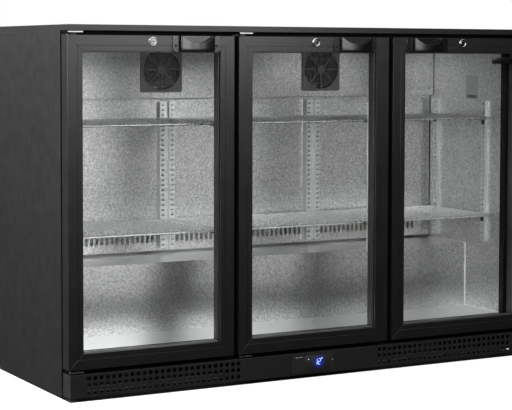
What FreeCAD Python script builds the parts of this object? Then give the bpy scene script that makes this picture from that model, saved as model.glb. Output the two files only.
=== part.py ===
"""Three-door glass-front bottle cooler for under a counter.

Frame: +X is the long side, -Y is the front with the doors, +Z is up.
The origin is at the centre of the footprint, on the floor. Millimetres.
"""
import FreeCAD, Part
import math
import os

V = FreeCAD.Vector

# ---- driving dimensions -------------------------------------------------
WIDTH = 1350.0
DEPTH = 535.0
HEIGHT = 895.0

HANDLE_PROUD = 20.0
DOOR_THICK = 37.0
GASKET_SPACE = 9.5
DOOR_GAP = 13.5
DOOR_BOTTOM = 76.0
DOOR_TOP = 870.0
DOOR_COUNT = 3

TOP_THICK = 14.5
TOP_SHEET = 1.2
WALL = 40.0
SKIN = 1.0
FRAME_DEPTH = 19.5
CASE_BOTTOM = 6.0

HALF = WIDTH / 2
FRONT = -DEPTH / 2 + HANDLE_PROUD
BACK = DEPTH / 2
CASE_FRONT = FRONT + DOOR_THICK + GASKET_SPACE
INNER_FRONT = CASE_FRONT + FRAME_DEPTH
INNER_X = HALF - WALL
INNER_BACK = BACK - WALL
TOP_Z = HEIGHT - TOP_THICK
REAR_SKIN = BACK - 3.0
GRILLE_Y = BACK - 12.0

CEILING = 854.0
FLOOR = 110.5
UNDERSIDE = 65.0
HUMP_TOP = 289.0
HUMP_FRONT = -16.5
MACHINE_TOP = HUMP_TOP - WALL
MACHINE_FRONT = HUMP_FRONT + WALL

DUCT_Y = FRONT + 413.0
DUCT_BOTTOM = HUMP_TOP + 7.0
COVER_Y = FRONT + 394.0
COVER_BOTTOM = 707.4

DOOR_WIDTH = (WIDTH - (DOOR_COUNT - 1) * DOOR_GAP) / DOOR_COUNT
BAY_X = (DOOR_WIDTH + DOOR_GAP) / 2
RAIL = 38.0
HEADER_BOTTOM = 846.0
JAMB_INNER = 632.0
FLANGE = 14.0
MULLION_WIDTH = 54.0

PIN_X = 10.0
PIN_Y = FRONT + 14.0
PIN_R = 4.0
RUN_GAP = 0.05
OVER = 1.0

LOCK_Z = 856.0
LOCK_PLUG_R = 6.0
LOCK_BODY_R = 9.0
CAM_REACH = 29.0
CAM_Y = FRONT + 21.0
CAM_THICK = 3.0

KICK_BOTTOM = 8.0
KICK_TOP = 64.5
KICK_HALF = 671.3

SLOT_PITCH = 13.5
TRACK_BOTTOM = 304.0
TRACK_TOP = 698.0
TRACK_THICK = 8.0
TRACK_WIDTH = 18.0
POST_DEPTH = 15.0
POST_WIDTH = 50.0
POST_SLOT_X = 14.0

SHELF_LEVELS = {"lower": 376.5, "upper": 647.5}
SHELF_FRONT = FRONT + 92.0
SHELF_BACK = FRONT + 392.5
SHELF_ROD_R = 2.5
WIRE_R = 1.4
WIRE_PITCH = 8.0
CLIP_GAP = 0.3

FAN_X = 248.0
FAN_Z = 784.0
FAN_SIZE = 121.0
FAN_BORE_R = 56.0

PIPE_HOLE = V(470.0, 196.0, 0.0)
PIPE_HOLE_R = 20.0


# ---- helpers ------------------------------------------------------------
def block(x0, x1, y0, y1, z0, z1):
    return Part.makeBox(x1 - x0, y1 - y0, z1 - z0, V(x0, y0, z0))


def cylinder(start, end, radius):
    axis = end.sub(start)
    return Part.makeCylinder(radius, axis.Length, start, axis)


def polygon(points):
    return Part.makePolygon(points + points[:1])


def right_side_out(solid):
    """The same solid with its faces turned outwards."""
    if solid.Volume < 0:
        solid.reverse()
    return solid


def pierced(outline, holes, thickness):
    """A flat sheet: an outline with holes, given its thickness as a vector."""
    face = Part.makeFace([outline] + holes, "Part::FaceMakerBullseye")
    return right_side_out(face.extrude(thickness))


def group(solids):
    return solids[0] if len(solids) == 1 else Part.makeCompound(solids)


def save(name, solids):
    group(solids).exportStep("parts/%s.step" % name)


def mirrored(solid):
    return solid.mirror(V(0, 0, 0), V(1, 0, 0))


def spread(first, last, pitch):
    """Evenly spaced values from first to last, about a pitch apart."""
    count = max(1, round((last - first) / pitch))
    return [first + (last - first) * i / count for i in range(count + 1)]


def obround(cx, z0, z1, y, width):
    """An upright slot outline in a plane of constant y."""
    r = width / 2
    low = V(cx, y, z0 + r)
    high = V(cx, y, z1 - r)
    side = V(r, 0, 0)
    edges = [
        Part.makeLine(low - side, high - side),
        Part.Arc(high - side, high + V(0, 0, r), high + side).toShape(),
        Part.makeLine(high + side, low + side),
        Part.Arc(low + side, low - V(0, 0, r), low - side).toShape(),
    ]
    return Part.Wire(edges)


def circle(centre, radius, normal):
    return Part.Wire([Part.makeCircle(radius, centre, normal)])


def rounded_rect(cx, cz, width, height, radius, y):
    """A rectangle with round corners in a plane of constant y."""
    hx = width / 2 - radius
    hz = height / 2 - radius
    edges = []
    for turn, (sx, sz) in enumerate([(1, 1), (-1, 1), (-1, -1), (1, -1)]):
        centre = V(cx + sx * hx, y, cz + sz * hz)
        points = []
        for degrees in (0, 45, 90):
            angle = math.radians(90 * turn + degrees)
            points.append(centre + V(radius * math.cos(angle), 0, radius * math.sin(angle)))
        if edges:
            edges.append(Part.makeLine(edges[-1].Vertexes[-1].Point, points[0]))
        edges.append(Part.Arc(*points).toShape())
        if turn == 0:
            first = points[0]
    edges.append(Part.makeLine(points[2], first))
    return Part.Wire(edges)


def sweep(edges, radius):
    path = Part.Wire(edges)
    start = edges[0].Vertexes[0].Point
    direction = edges[0].tangentAt(edges[0].FirstParameter)
    return path.makePipeShell([circle(start, radius, direction)], True, False)


def pipe(points, radius, bend):
    """A round tube along straight runs joined by tangent arcs."""
    edges = []
    here = points[0]
    for before, corner, after in zip(points, points[1:], points[2:]):
        into = (corner - before).normalize()
        out = (after - corner).normalize()
        half_turn = into.getAngle(out) / 2
        cut = bend * math.tan(half_turn)
        start = corner - into * cut
        end = corner + out * cut
        inward = (out - into).normalize()
        middle = corner + inward * (bend / math.cos(half_turn) - bend)
        edges.append(Part.makeLine(here, start))
        edges.append(Part.Arc(start, middle, end).toShape())
        here = end
    edges.append(Part.makeLine(here, points[-1]))
    return sweep(edges, radius)


def screw(seat, outward, head_r, shank):
    """A pan-head screw; seat is where the head's underside meets the surface."""
    head = Part.makeCylinder(head_r, 1.8, seat, outward)
    tail = Part.makeCylinder(head_r / 2, shank, seat, outward * -1)
    recess_a = Part.makeBox(head_r, 0.8, 1.0, V(-head_r / 2, -0.4, 1.0))
    recess_b = Part.makeBox(0.8, head_r, 1.0, V(-0.4, -head_r / 2, 1.0))
    recess = recess_a.fuse(recess_b)
    recess.Placement = FreeCAD.Placement(seat, FreeCAD.Rotation(V(0, 0, 1), outward))
    return head.fuse(tail).cut(recess)


def screw_holes(seats, outward, head_r, shank):
    return [Part.makeCylinder(head_r / 2, shank, seat, outward * -1) for seat in seats]


def fan_rotor(centre, hub_r, tip_r, depth, blades, shaft_r):
    """An impeller that turns about Y; its hub is bored for the shaft behind it."""
    half = depth / 2
    hub = cylinder(centre - V(0, half, 0), centre + V(0, half, 0), hub_r)
    root = hub_r - 1.5
    sections = []
    for radius, sweep_width, rise in ((root, 0.62 * hub_r, 0.36 * depth),
                                      (tip_r, 0.46 * tip_r, 0.22 * depth)):
        low = V(-sweep_width / 2, -rise, radius)
        high = V(sweep_width / 2, rise, radius)
        thick = V(0, 1.6, 0)
        sections.append(polygon([low, high, high + thick, low + thick]))
    blade = Part.makeLoft(sections, True, True)
    blade.translate(centre)
    parts = []
    for i in range(blades):
        turned = blade.copy()
        turned.rotate(centre, V(0, 1, 0), 360.0 * i / blades)
        parts.append(turned)
    bore_start = centre - V(0, half - 2.0, 0)
    bore = cylinder(bore_start, centre + V(0, half + OVER, 0), shaft_r + RUN_GAP)
    return hub.fuse(parts).cut(bore)


FIN_THICK = 0.6


def finned_coil(x0, x1, rows_y, levels_z, tube_r, fin_pitch, fin_margin):
    """A tube that snakes through upright fins; returns its solids and the tube's ends."""
    spots = [(rows_y[0], z) for z in reversed(levels_z)] + [(rows_y[1], z) for z in levels_z]
    side_room = 8.0
    edges = []
    x_from, x_to = x1 + side_room, x0 - side_room
    for i, (y, z) in enumerate(spots):
        edges.append(Part.makeLine(V(x_from, y, z), V(x_to, y, z)))
        if i + 1 < len(spots):
            next_y, next_z = spots[i + 1]
            reach = math.hypot(next_y - y, next_z - z) / 2
            bulge = reach if x_to > x_from else -reach
            middle = V(x_to + bulge, (y + next_y) / 2, (z + next_z) / 2)
            edges.append(Part.Arc(V(x_to, y, z), middle, V(x_to, next_y, next_z)).toShape())
            x_from, x_to = x_to, x_from
    tube = sweep(edges, tube_r)
    y_low, y_high = min(rows_y) - fin_margin, max(rows_y) + fin_margin
    z_low, z_high = min(levels_z) - fin_margin, max(levels_z) + fin_margin
    outline = polygon([V(x0, y_low, z_low), V(x0, y_high, z_low),
                       V(x0, y_high, z_high), V(x0, y_low, z_high)])
    holes = [circle(V(x0, y, z), tube_r + RUN_GAP, V(1, 0, 0)) for y, z in spots]
    fin = pierced(outline, holes, V(FIN_THICK, 0, 0))
    solids = [tube]
    for x in spread(x0, x1 - FIN_THICK, fin_pitch):
        plate = fin.copy()
        plate.translate(V(x - x0, 0, 0))
        solids.append(plate)
    first = V(x1 + side_room, spots[0][0], spots[0][1])
    last = V(x1 + side_room, spots[-1][0], spots[-1][1])
    return solids, first, last


# ---- doors: where each one is -------------------------------------------
class Door:
    """One door's place: hinge is -1 when it hangs on its left edge, +1 on its right."""

    def __init__(self, name, index, hinge):
        self.name = name
        self.hinge = hinge
        self.left = -HALF + index * (DOOR_WIDTH + DOOR_GAP)
        self.right = self.left + DOOR_WIDTH
        self.centre = (self.left + self.right) / 2

    def from_hinge(self, distance):
        """The x at a distance from the hinged edge."""
        return self.left + distance if self.hinge < 0 else self.right - distance

    def span(self, near, far):
        """A low and high x for a stretch measured from the hinged edge."""
        return sorted((self.from_hinge(near), self.from_hinge(far)))


DOORS = [Door("door_left", 0, -1), Door("door_middle", 1, -1), Door("door_right", 2, 1)]


# ---- casing -------------------------------------------------------------
def cam_slot(door, z0, z1):
    """The slot that a lock's cam turns up through, with room on its turning side."""
    room = 2.5
    return block(door.centre - LOCK_BODY_R, door.centre + CAM_REACH, CAM_Y - room,
                 CAM_Y + CAM_THICK + room, z0, z1)


def worktop():
    """A folded sheet lid whose nose reaches over the doors, slotted for the lock cams."""
    lid = block(-HALF, HALF, FRONT, BACK, TOP_Z, HEIGHT)
    sheet = TOP_SHEET
    side = HALF - sheet
    pocket = block(-side, side, CASE_FRONT + sheet, BACK - sheet, TOP_Z, HEIGHT - sheet)
    nose = block(-side, side, FRONT + sheet, CASE_FRONT + sheet, TOP_Z + sheet, HEIGHT - sheet)
    slots = []
    for door in DOORS:
        slots.append(cam_slot(door, TOP_Z, TOP_Z + sheet))
    return lid.cut([pocket, nose] + slots)


def top_core():
    """The slab of foam in the worktop's pocket."""
    sheet = TOP_SHEET
    return block(-HALF + sheet, HALF - sheet, CASE_FRONT + sheet, BACK - sheet, TOP_Z, HEIGHT - sheet)


def side_panel():
    """The right-hand outer panel, with a flange at the front and one at the back."""
    skin = block(HALF - SKIN, HALF, CASE_FRONT, BACK, CASE_BOTTOM, TOP_Z)
    front = block(HALF - FLANGE, HALF, CASE_FRONT, CASE_FRONT + SKIN, UNDERSIDE, TOP_Z)
    rear = block(HALF - FLANGE, HALF, BACK - SKIN, BACK, CASE_BOTTOM, TOP_Z)
    return skin.fuse([front, rear])


REAR_SCREW_Z = (258.0, 872.0)
REAR_SCREW_X = spread(-640.0, 640.0, 256.0)
REAR_SEATS = [V(x, REAR_SKIN, z) for x in REAR_SCREW_X for z in REAR_SCREW_Z]
GRILLE_SEATS = [V(x, GRILLE_Y, z) for x in (-640.0, 0.0, 640.0) for z in (36.0, 240.0)]
SCREW_R = 3.6
SCREW_SHANK = 6.0


def rear_panel():
    panel = block(-HALF + SKIN, HALF - SKIN, REAR_SKIN - SKIN, REAR_SKIN, MACHINE_TOP, TOP_Z)
    return panel.cut(screw_holes(REAR_SEATS, V(0, 1, 0), SCREW_R, SCREW_SHANK))


FOOT_SPOTS = [V(x, y, 0) for x in (-600.0, 0.0, 600.0) for y in (-150.0, 215.0)]
FOOT_R = 20.0
STEM_R = 5.0
FOOT_DISC = 6.0
NECK_R = 12.0
STEM_TOP = 34.0
BASE_Z = 10.0
BASE_SHEET = 1.5
BASE_RIM = 14.0
BASE_FRONT = CASE_FRONT + 4.0
BASE_BACK = REAR_SKIN - 12.0


def base_pan():
    """A shallow tray across the bottom, drilled for the feet."""
    rim_top = BASE_Z + BASE_RIM
    side = HALF - SKIN
    outer = block(-side, side, BASE_FRONT, BASE_BACK, BASE_Z, rim_top)
    inner = block(-side + BASE_SHEET, side - BASE_SHEET, BASE_FRONT + BASE_SHEET,
                  BASE_BACK - BASE_SHEET, BASE_Z + BASE_SHEET, rim_top + OVER)
    holes = [cylinder(spot, spot + V(0, 0, rim_top), STEM_R) for spot in FOOT_SPOTS]
    return outer.cut([inner] + holes)


def levelling_foot(spot):
    disc = cylinder(spot, spot + V(0, 0, FOOT_DISC), FOOT_R)
    neck = cylinder(spot + V(0, 0, FOOT_DISC), spot + V(0, 0, BASE_Z), NECK_R)
    stem = cylinder(spot + V(0, 0, BASE_Z), spot + V(0, 0, STEM_TOP), STEM_R)
    return disc.fuse([neck, stem])


def pipe_hole(z0, z1):
    return cylinder(PIPE_HOLE + V(0, 0, z0), PIPE_HOLE + V(0, 0, z1), PIPE_HOLE_R)


def foam_insulation():
    """The foam between the skins and the liners, with the hole for the pipes."""
    body = block(-HALF + SKIN, HALF - SKIN, INNER_FRONT, REAR_SKIN - SKIN, UNDERSIDE, TOP_Z)
    outer_x = INNER_X + SKIN
    mouth = INNER_FRONT - OVER
    upper_room = block(-outer_x, outer_x, mouth, INNER_BACK + SKIN, HUMP_TOP - SKIN, CEILING + SKIN)
    lower_room = block(-outer_x, outer_x, mouth, HUMP_FRONT + SKIN, FLOOR - SKIN, HUMP_TOP)
    machine = block(-HALF, HALF, MACHINE_FRONT - SKIN, BACK, UNDERSIDE - OVER, MACHINE_TOP)
    holes = screw_holes(REAR_SEATS, V(0, 1, 0), SCREW_R, SCREW_SHANK)
    flanges = [block(side * HALF - FLANGE, side * HALF + FLANGE, CASE_FRONT, INNER_FRONT, 0, HEIGHT)
               for side in (-1, 1)]
    return body.cut([upper_room, lower_room, machine, pipe_hole(0, HUMP_TOP)] + holes + flanges)


def machine_space_liner():
    """The bent sheet under the insulated floor and over the machine space."""
    side = HALF - SKIN
    wall_front = MACHINE_FRONT - SKIN
    low = block(-side, side, INNER_FRONT, MACHINE_FRONT, UNDERSIDE - SKIN, UNDERSIDE)
    wall = block(-side, side, wall_front, MACHINE_FRONT, UNDERSIDE - SKIN, MACHINE_TOP)
    roof = block(-side, side, wall_front, REAR_SKIN - SKIN, MACHINE_TOP - SKIN, MACHINE_TOP)
    return low.fuse([wall, roof]).cut(pipe_hole(0, HUMP_TOP))


# ---- inner cabinet ------------------------------------------------------
def inner_liner():
    """Two sides, cut round the hump, with the ceiling and the back."""
    full = block(INNER_X, INNER_X + SKIN, INNER_FRONT, HUMP_FRONT + SKIN, FLOOR, CEILING)
    short = block(INNER_X, INNER_X + SKIN, INNER_FRONT, INNER_BACK, HUMP_TOP - SKIN, CEILING)
    side = full.fuse(short).removeSplitter()
    reach = INNER_X + SKIN
    ceiling = block(-reach, reach, INNER_FRONT, INNER_BACK + SKIN, CEILING, CEILING + SKIN)
    back = block(-reach, reach, INNER_BACK, INNER_BACK + SKIN, HUMP_TOP - SKIN, CEILING)
    return [mirrored(side), side, ceiling, back]


def floor_liner():
    return block(-INNER_X, INNER_X, INNER_FRONT, HUMP_FRONT + SKIN, FLOOR - SKIN, FLOOR)


def hump_cover():
    """The bent sheet over the machine space: an upright front and a flat top."""
    front = block(-INNER_X, INNER_X, HUMP_FRONT, HUMP_FRONT + SKIN, FLOOR, HUMP_TOP)
    top = block(-INNER_X, INNER_X, HUMP_FRONT, INNER_BACK, HUMP_TOP - SKIN, HUMP_TOP)
    return front.fuse(top).cut(pipe_hole(0, HUMP_TOP + OVER))


DUCT_EDGE = INNER_X - 2.0
RETURN_SLOT_WIDTH = 8.0
RETURN_SLOT_Z = (DUCT_BOTTOM + 22.0, DUCT_BOTTOM + 64.0)
RETURN_SLOT_X = spread(-574.0, 574.0, 14.75)


def duct_panel():
    """The sheet in front of the air duct, with a row of upright return-air slots."""
    edge = DUCT_EDGE
    outline = polygon([V(-edge, DUCT_Y, DUCT_BOTTOM), V(edge, DUCT_Y, DUCT_BOTTOM),
                       V(edge, DUCT_Y, COVER_BOTTOM), V(-edge, DUCT_Y, COVER_BOTTOM)])
    slot_low, slot_high = RETURN_SLOT_Z
    slots = [obround(x, slot_low, slot_high, DUCT_Y, RETURN_SLOT_WIDTH) for x in RETURN_SLOT_X]
    return pierced(outline, slots, V(0, SKIN, 0))


COVER_SEATS = [V(x, COVER_Y, 728.0) for x in (-621.0, -100.0, 100.0, 621.0)]
COVER_EDGE = INNER_X - 1.5
COVER_TOP = CEILING - 0.5


def evaporator_cover():
    """The boxed cover over the evaporator, with a round opening for each fan."""
    edge = COVER_EDGE
    outline = polygon([V(-edge, COVER_Y, COVER_BOTTOM), V(edge, COVER_Y, COVER_BOTTOM),
                       V(edge, COVER_Y, COVER_TOP), V(-edge, COVER_Y, COVER_TOP)])
    holes = [circle(V(x, COVER_Y, FAN_Z), FAN_BORE_R, V(0, 1, 0)) for x in (-FAN_X, FAN_X)]
    face = pierced(outline, holes, V(0, SKIN, 0))
    below = block(-edge, edge, COVER_Y, DUCT_Y + SKIN, COVER_BOTTOM, COVER_BOTTOM + SKIN)
    return face.fuse(below).cut(screw_holes(COVER_SEATS, V(0, -1, 0), SCREW_R, SCREW_SHANK))


EVAP_LEVELS = spread(735.0, 838.0, 25.0)
EVAP_ROWS = (191.0, 213.0)
EVAP_X = (-560.0, 430.0)
EVAP_TUBE_R = 4.5
EVAP_FIN_PITCH = 18.0
EVAP_FIN_MARGIN = 10.0


def evaporator_coil():
    """The finned coil behind the cover, with its tube's two ends."""
    return finned_coil(EVAP_X[0], EVAP_X[1], EVAP_ROWS, EVAP_LEVELS, EVAP_TUBE_R, EVAP_FIN_PITCH,
                       EVAP_FIN_MARGIN)


FAN_CORNER_R = 6.0
FAN_FRAME_DEPTH = 25.0
FAN_SHAFT_R = 2.0
FAN_HUB_R = 18.0
FAN_TIP_R = FAN_BORE_R - 3.0
FAN_ROTOR_DEPTH = 16.0
FAN_ROTOR_Y = COVER_Y + SKIN + 10.0
FAN_BLADES = 5


def fan_frame(x):
    """The square moulding of one evaporator fan, with its motor boss and shaft."""
    front = COVER_Y + SKIN
    outer = pierced(rounded_rect(x, FAN_Z, FAN_SIZE, FAN_SIZE, FAN_CORNER_R, front),
                    [circle(V(x, front, FAN_Z), FAN_BORE_R, V(0, 1, 0))], V(0, FAN_FRAME_DEPTH, 0))
    back = front + FAN_FRAME_DEPTH
    plate = 4.0
    boss_r = 21.0
    half_arm = 3.0
    shaft_start = front + 8.0
    centre = V(x, 0, FAN_Z)
    boss = cylinder(centre + V(0, back - plate, 0), centre + V(0, back, 0), boss_r)
    shaft = cylinder(centre + V(0, shaft_start, 0), centre + V(0, back - plate, 0), FAN_SHAFT_R)
    arms = []
    for degrees in (45, 135, 225, 315):
        arm = block(x + boss_r - 2 * OVER, x + FAN_BORE_R + 2 * OVER, back - plate, back,
                    FAN_Z - half_arm, FAN_Z + half_arm)
        arm.rotate(centre, V(0, 1, 0), degrees)
        arms.append(arm)
    return outer.fuse([boss, shaft] + arms)


GUARD_THICK = 4.0
GUARD_HUB_R = 11.0
GUARD_RIM_R = 55.0
GUARD_RINGS = 7
GUARD_SPOKES = 8
GUARD_BAR = 1.5


def guard_window(centre, low, high, start, end):
    """One opening of the guard, between two radii and two angles, a bar's half width inside them."""
    middle = (start + end) / 2

    def at(radius, angle):
        return centre + V(radius * math.cos(angle), 0, radius * math.sin(angle))

    a, b = at(low, start + GUARD_BAR / low), at(low, end - GUARD_BAR / low)
    c, d = at(high, end - GUARD_BAR / high), at(high, start + GUARD_BAR / high)
    return Part.Wire([
        Part.Arc(a, at(low, middle), b).toShape(), Part.makeLine(b, c),
        Part.Arc(c, at(high, middle), d).toShape(), Part.makeLine(d, a)])


def fan_guard(x):
    """A round-bar style finger guard: rings and spokes in a square plate."""
    front = COVER_Y - GUARD_THICK
    centre = V(x, front, FAN_Z)
    pitch = (GUARD_RIM_R - GUARD_HUB_R) / GUARD_RINGS
    step = 2 * math.pi / GUARD_SPOKES
    windows = []
    for ring in range(GUARD_RINGS):
        low = GUARD_HUB_R + ring * pitch + GUARD_BAR / 2
        high = GUARD_HUB_R + (ring + 1) * pitch - GUARD_BAR / 2
        for spoke in range(GUARD_SPOKES):
            windows.append(guard_window(centre, low, high, spoke * step, (spoke + 1) * step))
    plate = rounded_rect(x, FAN_Z, FAN_SIZE, FAN_SIZE, FAN_CORNER_R, front)
    return pierced(plate, windows, V(0, GUARD_THICK, 0))


FRAME_FIT = 0.5


def front_frame():
    """Header, sill and two jambs around the cabinet's mouth."""
    reach = HALF - FLANGE - FRAME_FIT
    header = block(-reach, reach, CASE_FRONT, INNER_FRONT, HEADER_BOTTOM, TOP_Z)
    sill = block(-reach, reach, CASE_FRONT, INNER_FRONT, UNDERSIDE, FLOOR)
    jamb = block(JAMB_INNER, reach, CASE_FRONT, INNER_FRONT, FLOOR, HEADER_BOTTOM)
    return [header, sill, mirrored(jamb), jamb]


MULLION_SCREW_Z = spread(122.0, 686.0, 141.0)
MULLION_SCREW_Y = INNER_FRONT - 6.5


def mullion_seats():
    """Seats of the screws in both sides of both mullions, with the way they face."""
    seats = []
    for centre in (-BAY_X, BAY_X):
        for side in (-1, 1):
            x = centre + side * MULLION_WIDTH / 2
            seats += [(V(x, MULLION_SCREW_Y, z), V(side, 0, 0)) for z in MULLION_SCREW_Z]
    return seats


def mullions():
    holes = []
    for seat, out in mullion_seats():
        holes += screw_holes([seat], out, SCREW_R, SCREW_SHANK)
    half = MULLION_WIDTH / 2
    return [block(x - half, x + half, CASE_FRONT, INNER_FRONT, FLOOR, HEADER_BOTTOM).cut(holes)
            for x in (-BAY_X, BAY_X)]


TRACK_SHEET = 1.5
SLOT_MARGIN = 9.0
SLOT_HALF_WIDTH = 4.0
SLOT_HALF_HEIGHT = 2.0


def track_slots(x0, x1, y0, y1):
    """Cutters for a column of slots up a track."""
    return [block(x0, x1, y0, y1, z - SLOT_HALF_HEIGHT, z + SLOT_HALF_HEIGHT)
            for z in spread(TRACK_BOTTOM + SLOT_MARGIN, TRACK_TOP - SLOT_MARGIN, SLOT_PITCH)]


def wall_track(y):
    """One slotted track on the right-hand wall: a shallow channel, open to the wall."""
    x0, x1 = INNER_X - TRACK_THICK, INNER_X
    far = y + TRACK_WIDTH
    bar = block(x0, x1, y, far, TRACK_BOTTOM, TRACK_TOP)
    hollow = block(x0 + TRACK_SHEET, x1, y + TRACK_SHEET, far - TRACK_SHEET, TRACK_BOTTOM, TRACK_TOP)
    middle = (y + far) / 2
    slots = track_slots(x0, x0 + TRACK_SHEET, middle - SLOT_HALF_WIDTH, middle + SLOT_HALF_WIDTH)
    return bar.cut([hollow] + slots)


def double_track(centre, y, facing):
    """A post with two slotted webs and a channel between; facing is the way the slots look."""
    wall = TRACK_SHEET
    half, inner, outer, channel = POST_WIDTH / 2, 6.5, 21.5, 5.0
    section = [(-half, 0), (-outer, POST_DEPTH), (-inner, POST_DEPTH), (-inner, channel),
               (inner, channel), (inner, POST_DEPTH), (outer, POST_DEPTH), (half, 0)]
    right_side = [(half - wall, 0), (outer - wall, POST_DEPTH - wall), (inner + wall, POST_DEPTH - wall),
                  (inner + wall, channel - wall)]
    inside = right_side + [(-a, b) for a, b in reversed(right_side)]
    points = [V(centre + a, y + facing * b, TRACK_BOTTOM) for a, b in section + inside]
    post = Part.Face(polygon(points)).extrude(V(0, 0, TRACK_TOP - TRACK_BOTTOM))
    web = sorted((y + facing * (POST_DEPTH - wall), y + facing * (POST_DEPTH + OVER)))
    slots = []
    for side in (-1, 1):
        x = centre + side * POST_SLOT_X
        slots += track_slots(x - SLOT_HALF_WIDTH, x + SLOT_HALF_WIDTH, web[0], web[1])
    return post.cut(slots)


WALL_TRACK_Y = (FRONT + 130.0, FRONT + 363.0)


def shelf_tracks():
    walls = [wall_track(y) for y in WALL_TRACK_Y]
    walls += [mirrored(track) for track in walls]
    posts = [double_track(x, INNER_FRONT, 1) for x in (-BAY_X, BAY_X)]
    posts += [double_track(x, DUCT_Y, -1) for x in (-BAY_X, BAY_X)]
    return walls + posts


def clip(root, outward, level):
    """A bent support clip: a tab on the slotted web and a tongue under the shelf."""
    across = V(-outward.y, outward.x, 0)
    top = level - CLIP_GAP
    tongue, width, sheet, tab = 24.0, 12.0, 2.0, 16.0

    def slab(start, end, z0, z1):
        corners = [root + outward * a + across * b for a, b in
                   ((start, -width / 2), (end, -width / 2), (end, width / 2), (start, width / 2))]
        face = Part.Face(polygon([V(c.x, c.y, z0) for c in corners]))
        return face.extrude(V(0, 0, z1 - z0))

    return slab(0.0, sheet, top - tab, top).fuse(slab(sheet, tongue, top - sheet, top))


def shelf_clips():
    clips = []
    post_front = INNER_FRONT + POST_DEPTH
    post_back = DUCT_Y - POST_DEPTH
    for level in SHELF_LEVELS.values():
        for side in (-1, 1):
            for y in WALL_TRACK_Y:
                root = V(side * (INNER_X - TRACK_THICK), y + TRACK_WIDTH / 2, 0)
                clips.append(clip(root, V(-side, 0, 0), level))
            for slot in (-POST_SLOT_X, POST_SLOT_X):
                x = side * BAY_X + slot
                clips.append(clip(V(x, post_front, 0), V(0, 1, 0), level))
                clips.append(clip(V(x, post_back, 0), V(0, -1, 0), level))
    return clips


SHELF_END = 624.0
SHELF_SPACE = 3.25
SHELF_BAYS = {
    "left": (-SHELF_END, -BAY_X - SHELF_SPACE),
    "middle": (-BAY_X + SHELF_SPACE, BAY_X - SHELF_SPACE),
    "right": (BAY_X + SHELF_SPACE, SHELF_END),
}


def wire_shelf(x0, x1, level):
    """A frame of round rods with close front-to-back wires lying on it."""
    r = SHELF_ROD_R
    touch = 0.02
    overhang = 0.5
    z = level + r
    rods = []
    for y in (SHELF_FRONT + r, (SHELF_FRONT + SHELF_BACK) / 2, SHELF_BACK - r):
        rods.append(cylinder(V(x0 + 2 * r + touch, y, z), V(x1 - 2 * r - touch, y, z), r))
    for x in (x0 + r, x1 - r):
        rods.append(cylinder(V(x, SHELF_FRONT, z), V(x, SHELF_BACK, z), r))
    wire_z = level + 2 * r + WIRE_R + touch
    wires = [cylinder(V(x, SHELF_FRONT - overhang, wire_z), V(x, SHELF_BACK + overhang, wire_z), WIRE_R)
             for x in spread(x0 + r, x1 - r, WIRE_PITCH)]
    return rods + wires


def led_strip():
    """The light under the ceiling, just behind the header."""
    half_length, edge, body_height, lens_height = 600.0, 2.0, 5.0, 3.0
    front, back = INNER_FRONT + 3.0, INNER_FRONT + 21.0
    joint = CEILING - body_height
    body = block(-half_length, half_length, front, back, joint, CEILING)
    lens_half = half_length - edge
    lens = block(-lens_half, lens_half, front + edge, back - edge, joint - lens_height, joint)
    return [body, lens]


# ---- kick plate and controller ------------------------------------------
VENT_R = 5.1
VENT_PITCH = 16.1
VENT_ROWS = (21.5, 37.7, 54.0)
VENT_COLUMNS = [-623.2 + VENT_PITCH * i for i in range(26)] + [196.4 + VENT_PITCH * i for i in range(27)]
PANEL_X = (-67.3, 55.5)
PANEL_Z = (13.0, 59.0)
FASCIA_THICK = 1.5
FASCIA_LAP = 3.0
HOUSING_DEPTH = 42.0
HOUSING_PLAY = 0.5
KICK_BACK = CASE_FRONT + 2.0


def kick_plate():
    """The perforated front plate, with a top return, side returns and the controller's cut-out."""
    outline = polygon([V(-KICK_HALF, FRONT, KICK_BOTTOM), V(KICK_HALF, FRONT, KICK_BOTTOM),
                       V(KICK_HALF, FRONT, KICK_TOP), V(-KICK_HALF, FRONT, KICK_TOP)])
    holes = [circle(V(x, FRONT, z), VENT_R, V(0, 1, 0)) for x in VENT_COLUMNS for z in VENT_ROWS]
    x0, x1 = PANEL_X[0] + FASCIA_LAP, PANEL_X[1] - FASCIA_LAP
    z0, z1 = PANEL_Z[0] + FASCIA_LAP, PANEL_Z[1] - FASCIA_LAP
    holes.append(polygon([V(x0, FRONT, z0), V(x1, FRONT, z0), V(x1, FRONT, z1), V(x0, FRONT, z1)]))
    face = pierced(outline, holes, V(0, SKIN, 0))
    top = block(-KICK_HALF, KICK_HALF, FRONT, KICK_BACK, KICK_TOP - SKIN, KICK_TOP)
    side = block(KICK_HALF - SKIN, KICK_HALF, FRONT, KICK_BACK, KICK_BOTTOM, KICK_TOP)
    return face.fuse([top, side, mirrored(side)])


def controller():
    """The fascia over the cut-out, and the housing behind it."""
    x0, x1 = PANEL_X
    z0, z1 = PANEL_Z
    width, height = x1 - x0, z1 - z0
    corner_r = 2.0
    outline = rounded_rect((x0 + x1) / 2, (z0 + z1) / 2, width, height, corner_r, FRONT - FASCIA_THICK)
    fascia = pierced(outline, [], V(0, FASCIA_THICK, 0))
    inset = FASCIA_LAP + HOUSING_PLAY
    housing = block(x0 + inset, x1 - inset, FRONT, FRONT + HOUSING_DEPTH, z0 + inset, z1 - inset)
    return [fascia, housing]


# ---- hinges -------------------------------------------------------------
UPPER_PLATE_Z = 876.3
LOWER_PLATE_Z = 68.5
PLATE_THICK = 3.0
PLATE_SPAN = (3.0, 40.0)
PLATE_FRONT = FRONT + 2.5
UPPER_LUG_BOTTOM = 862.0
LOWER_LUG_TOP = 84.0
PIN_GRIP = 11.0
BUSH_LENGTH = 12.0
BUSH_R = 7.0
COLLAR_R = 8.5
COLLAR_THICK = 1.0


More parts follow.
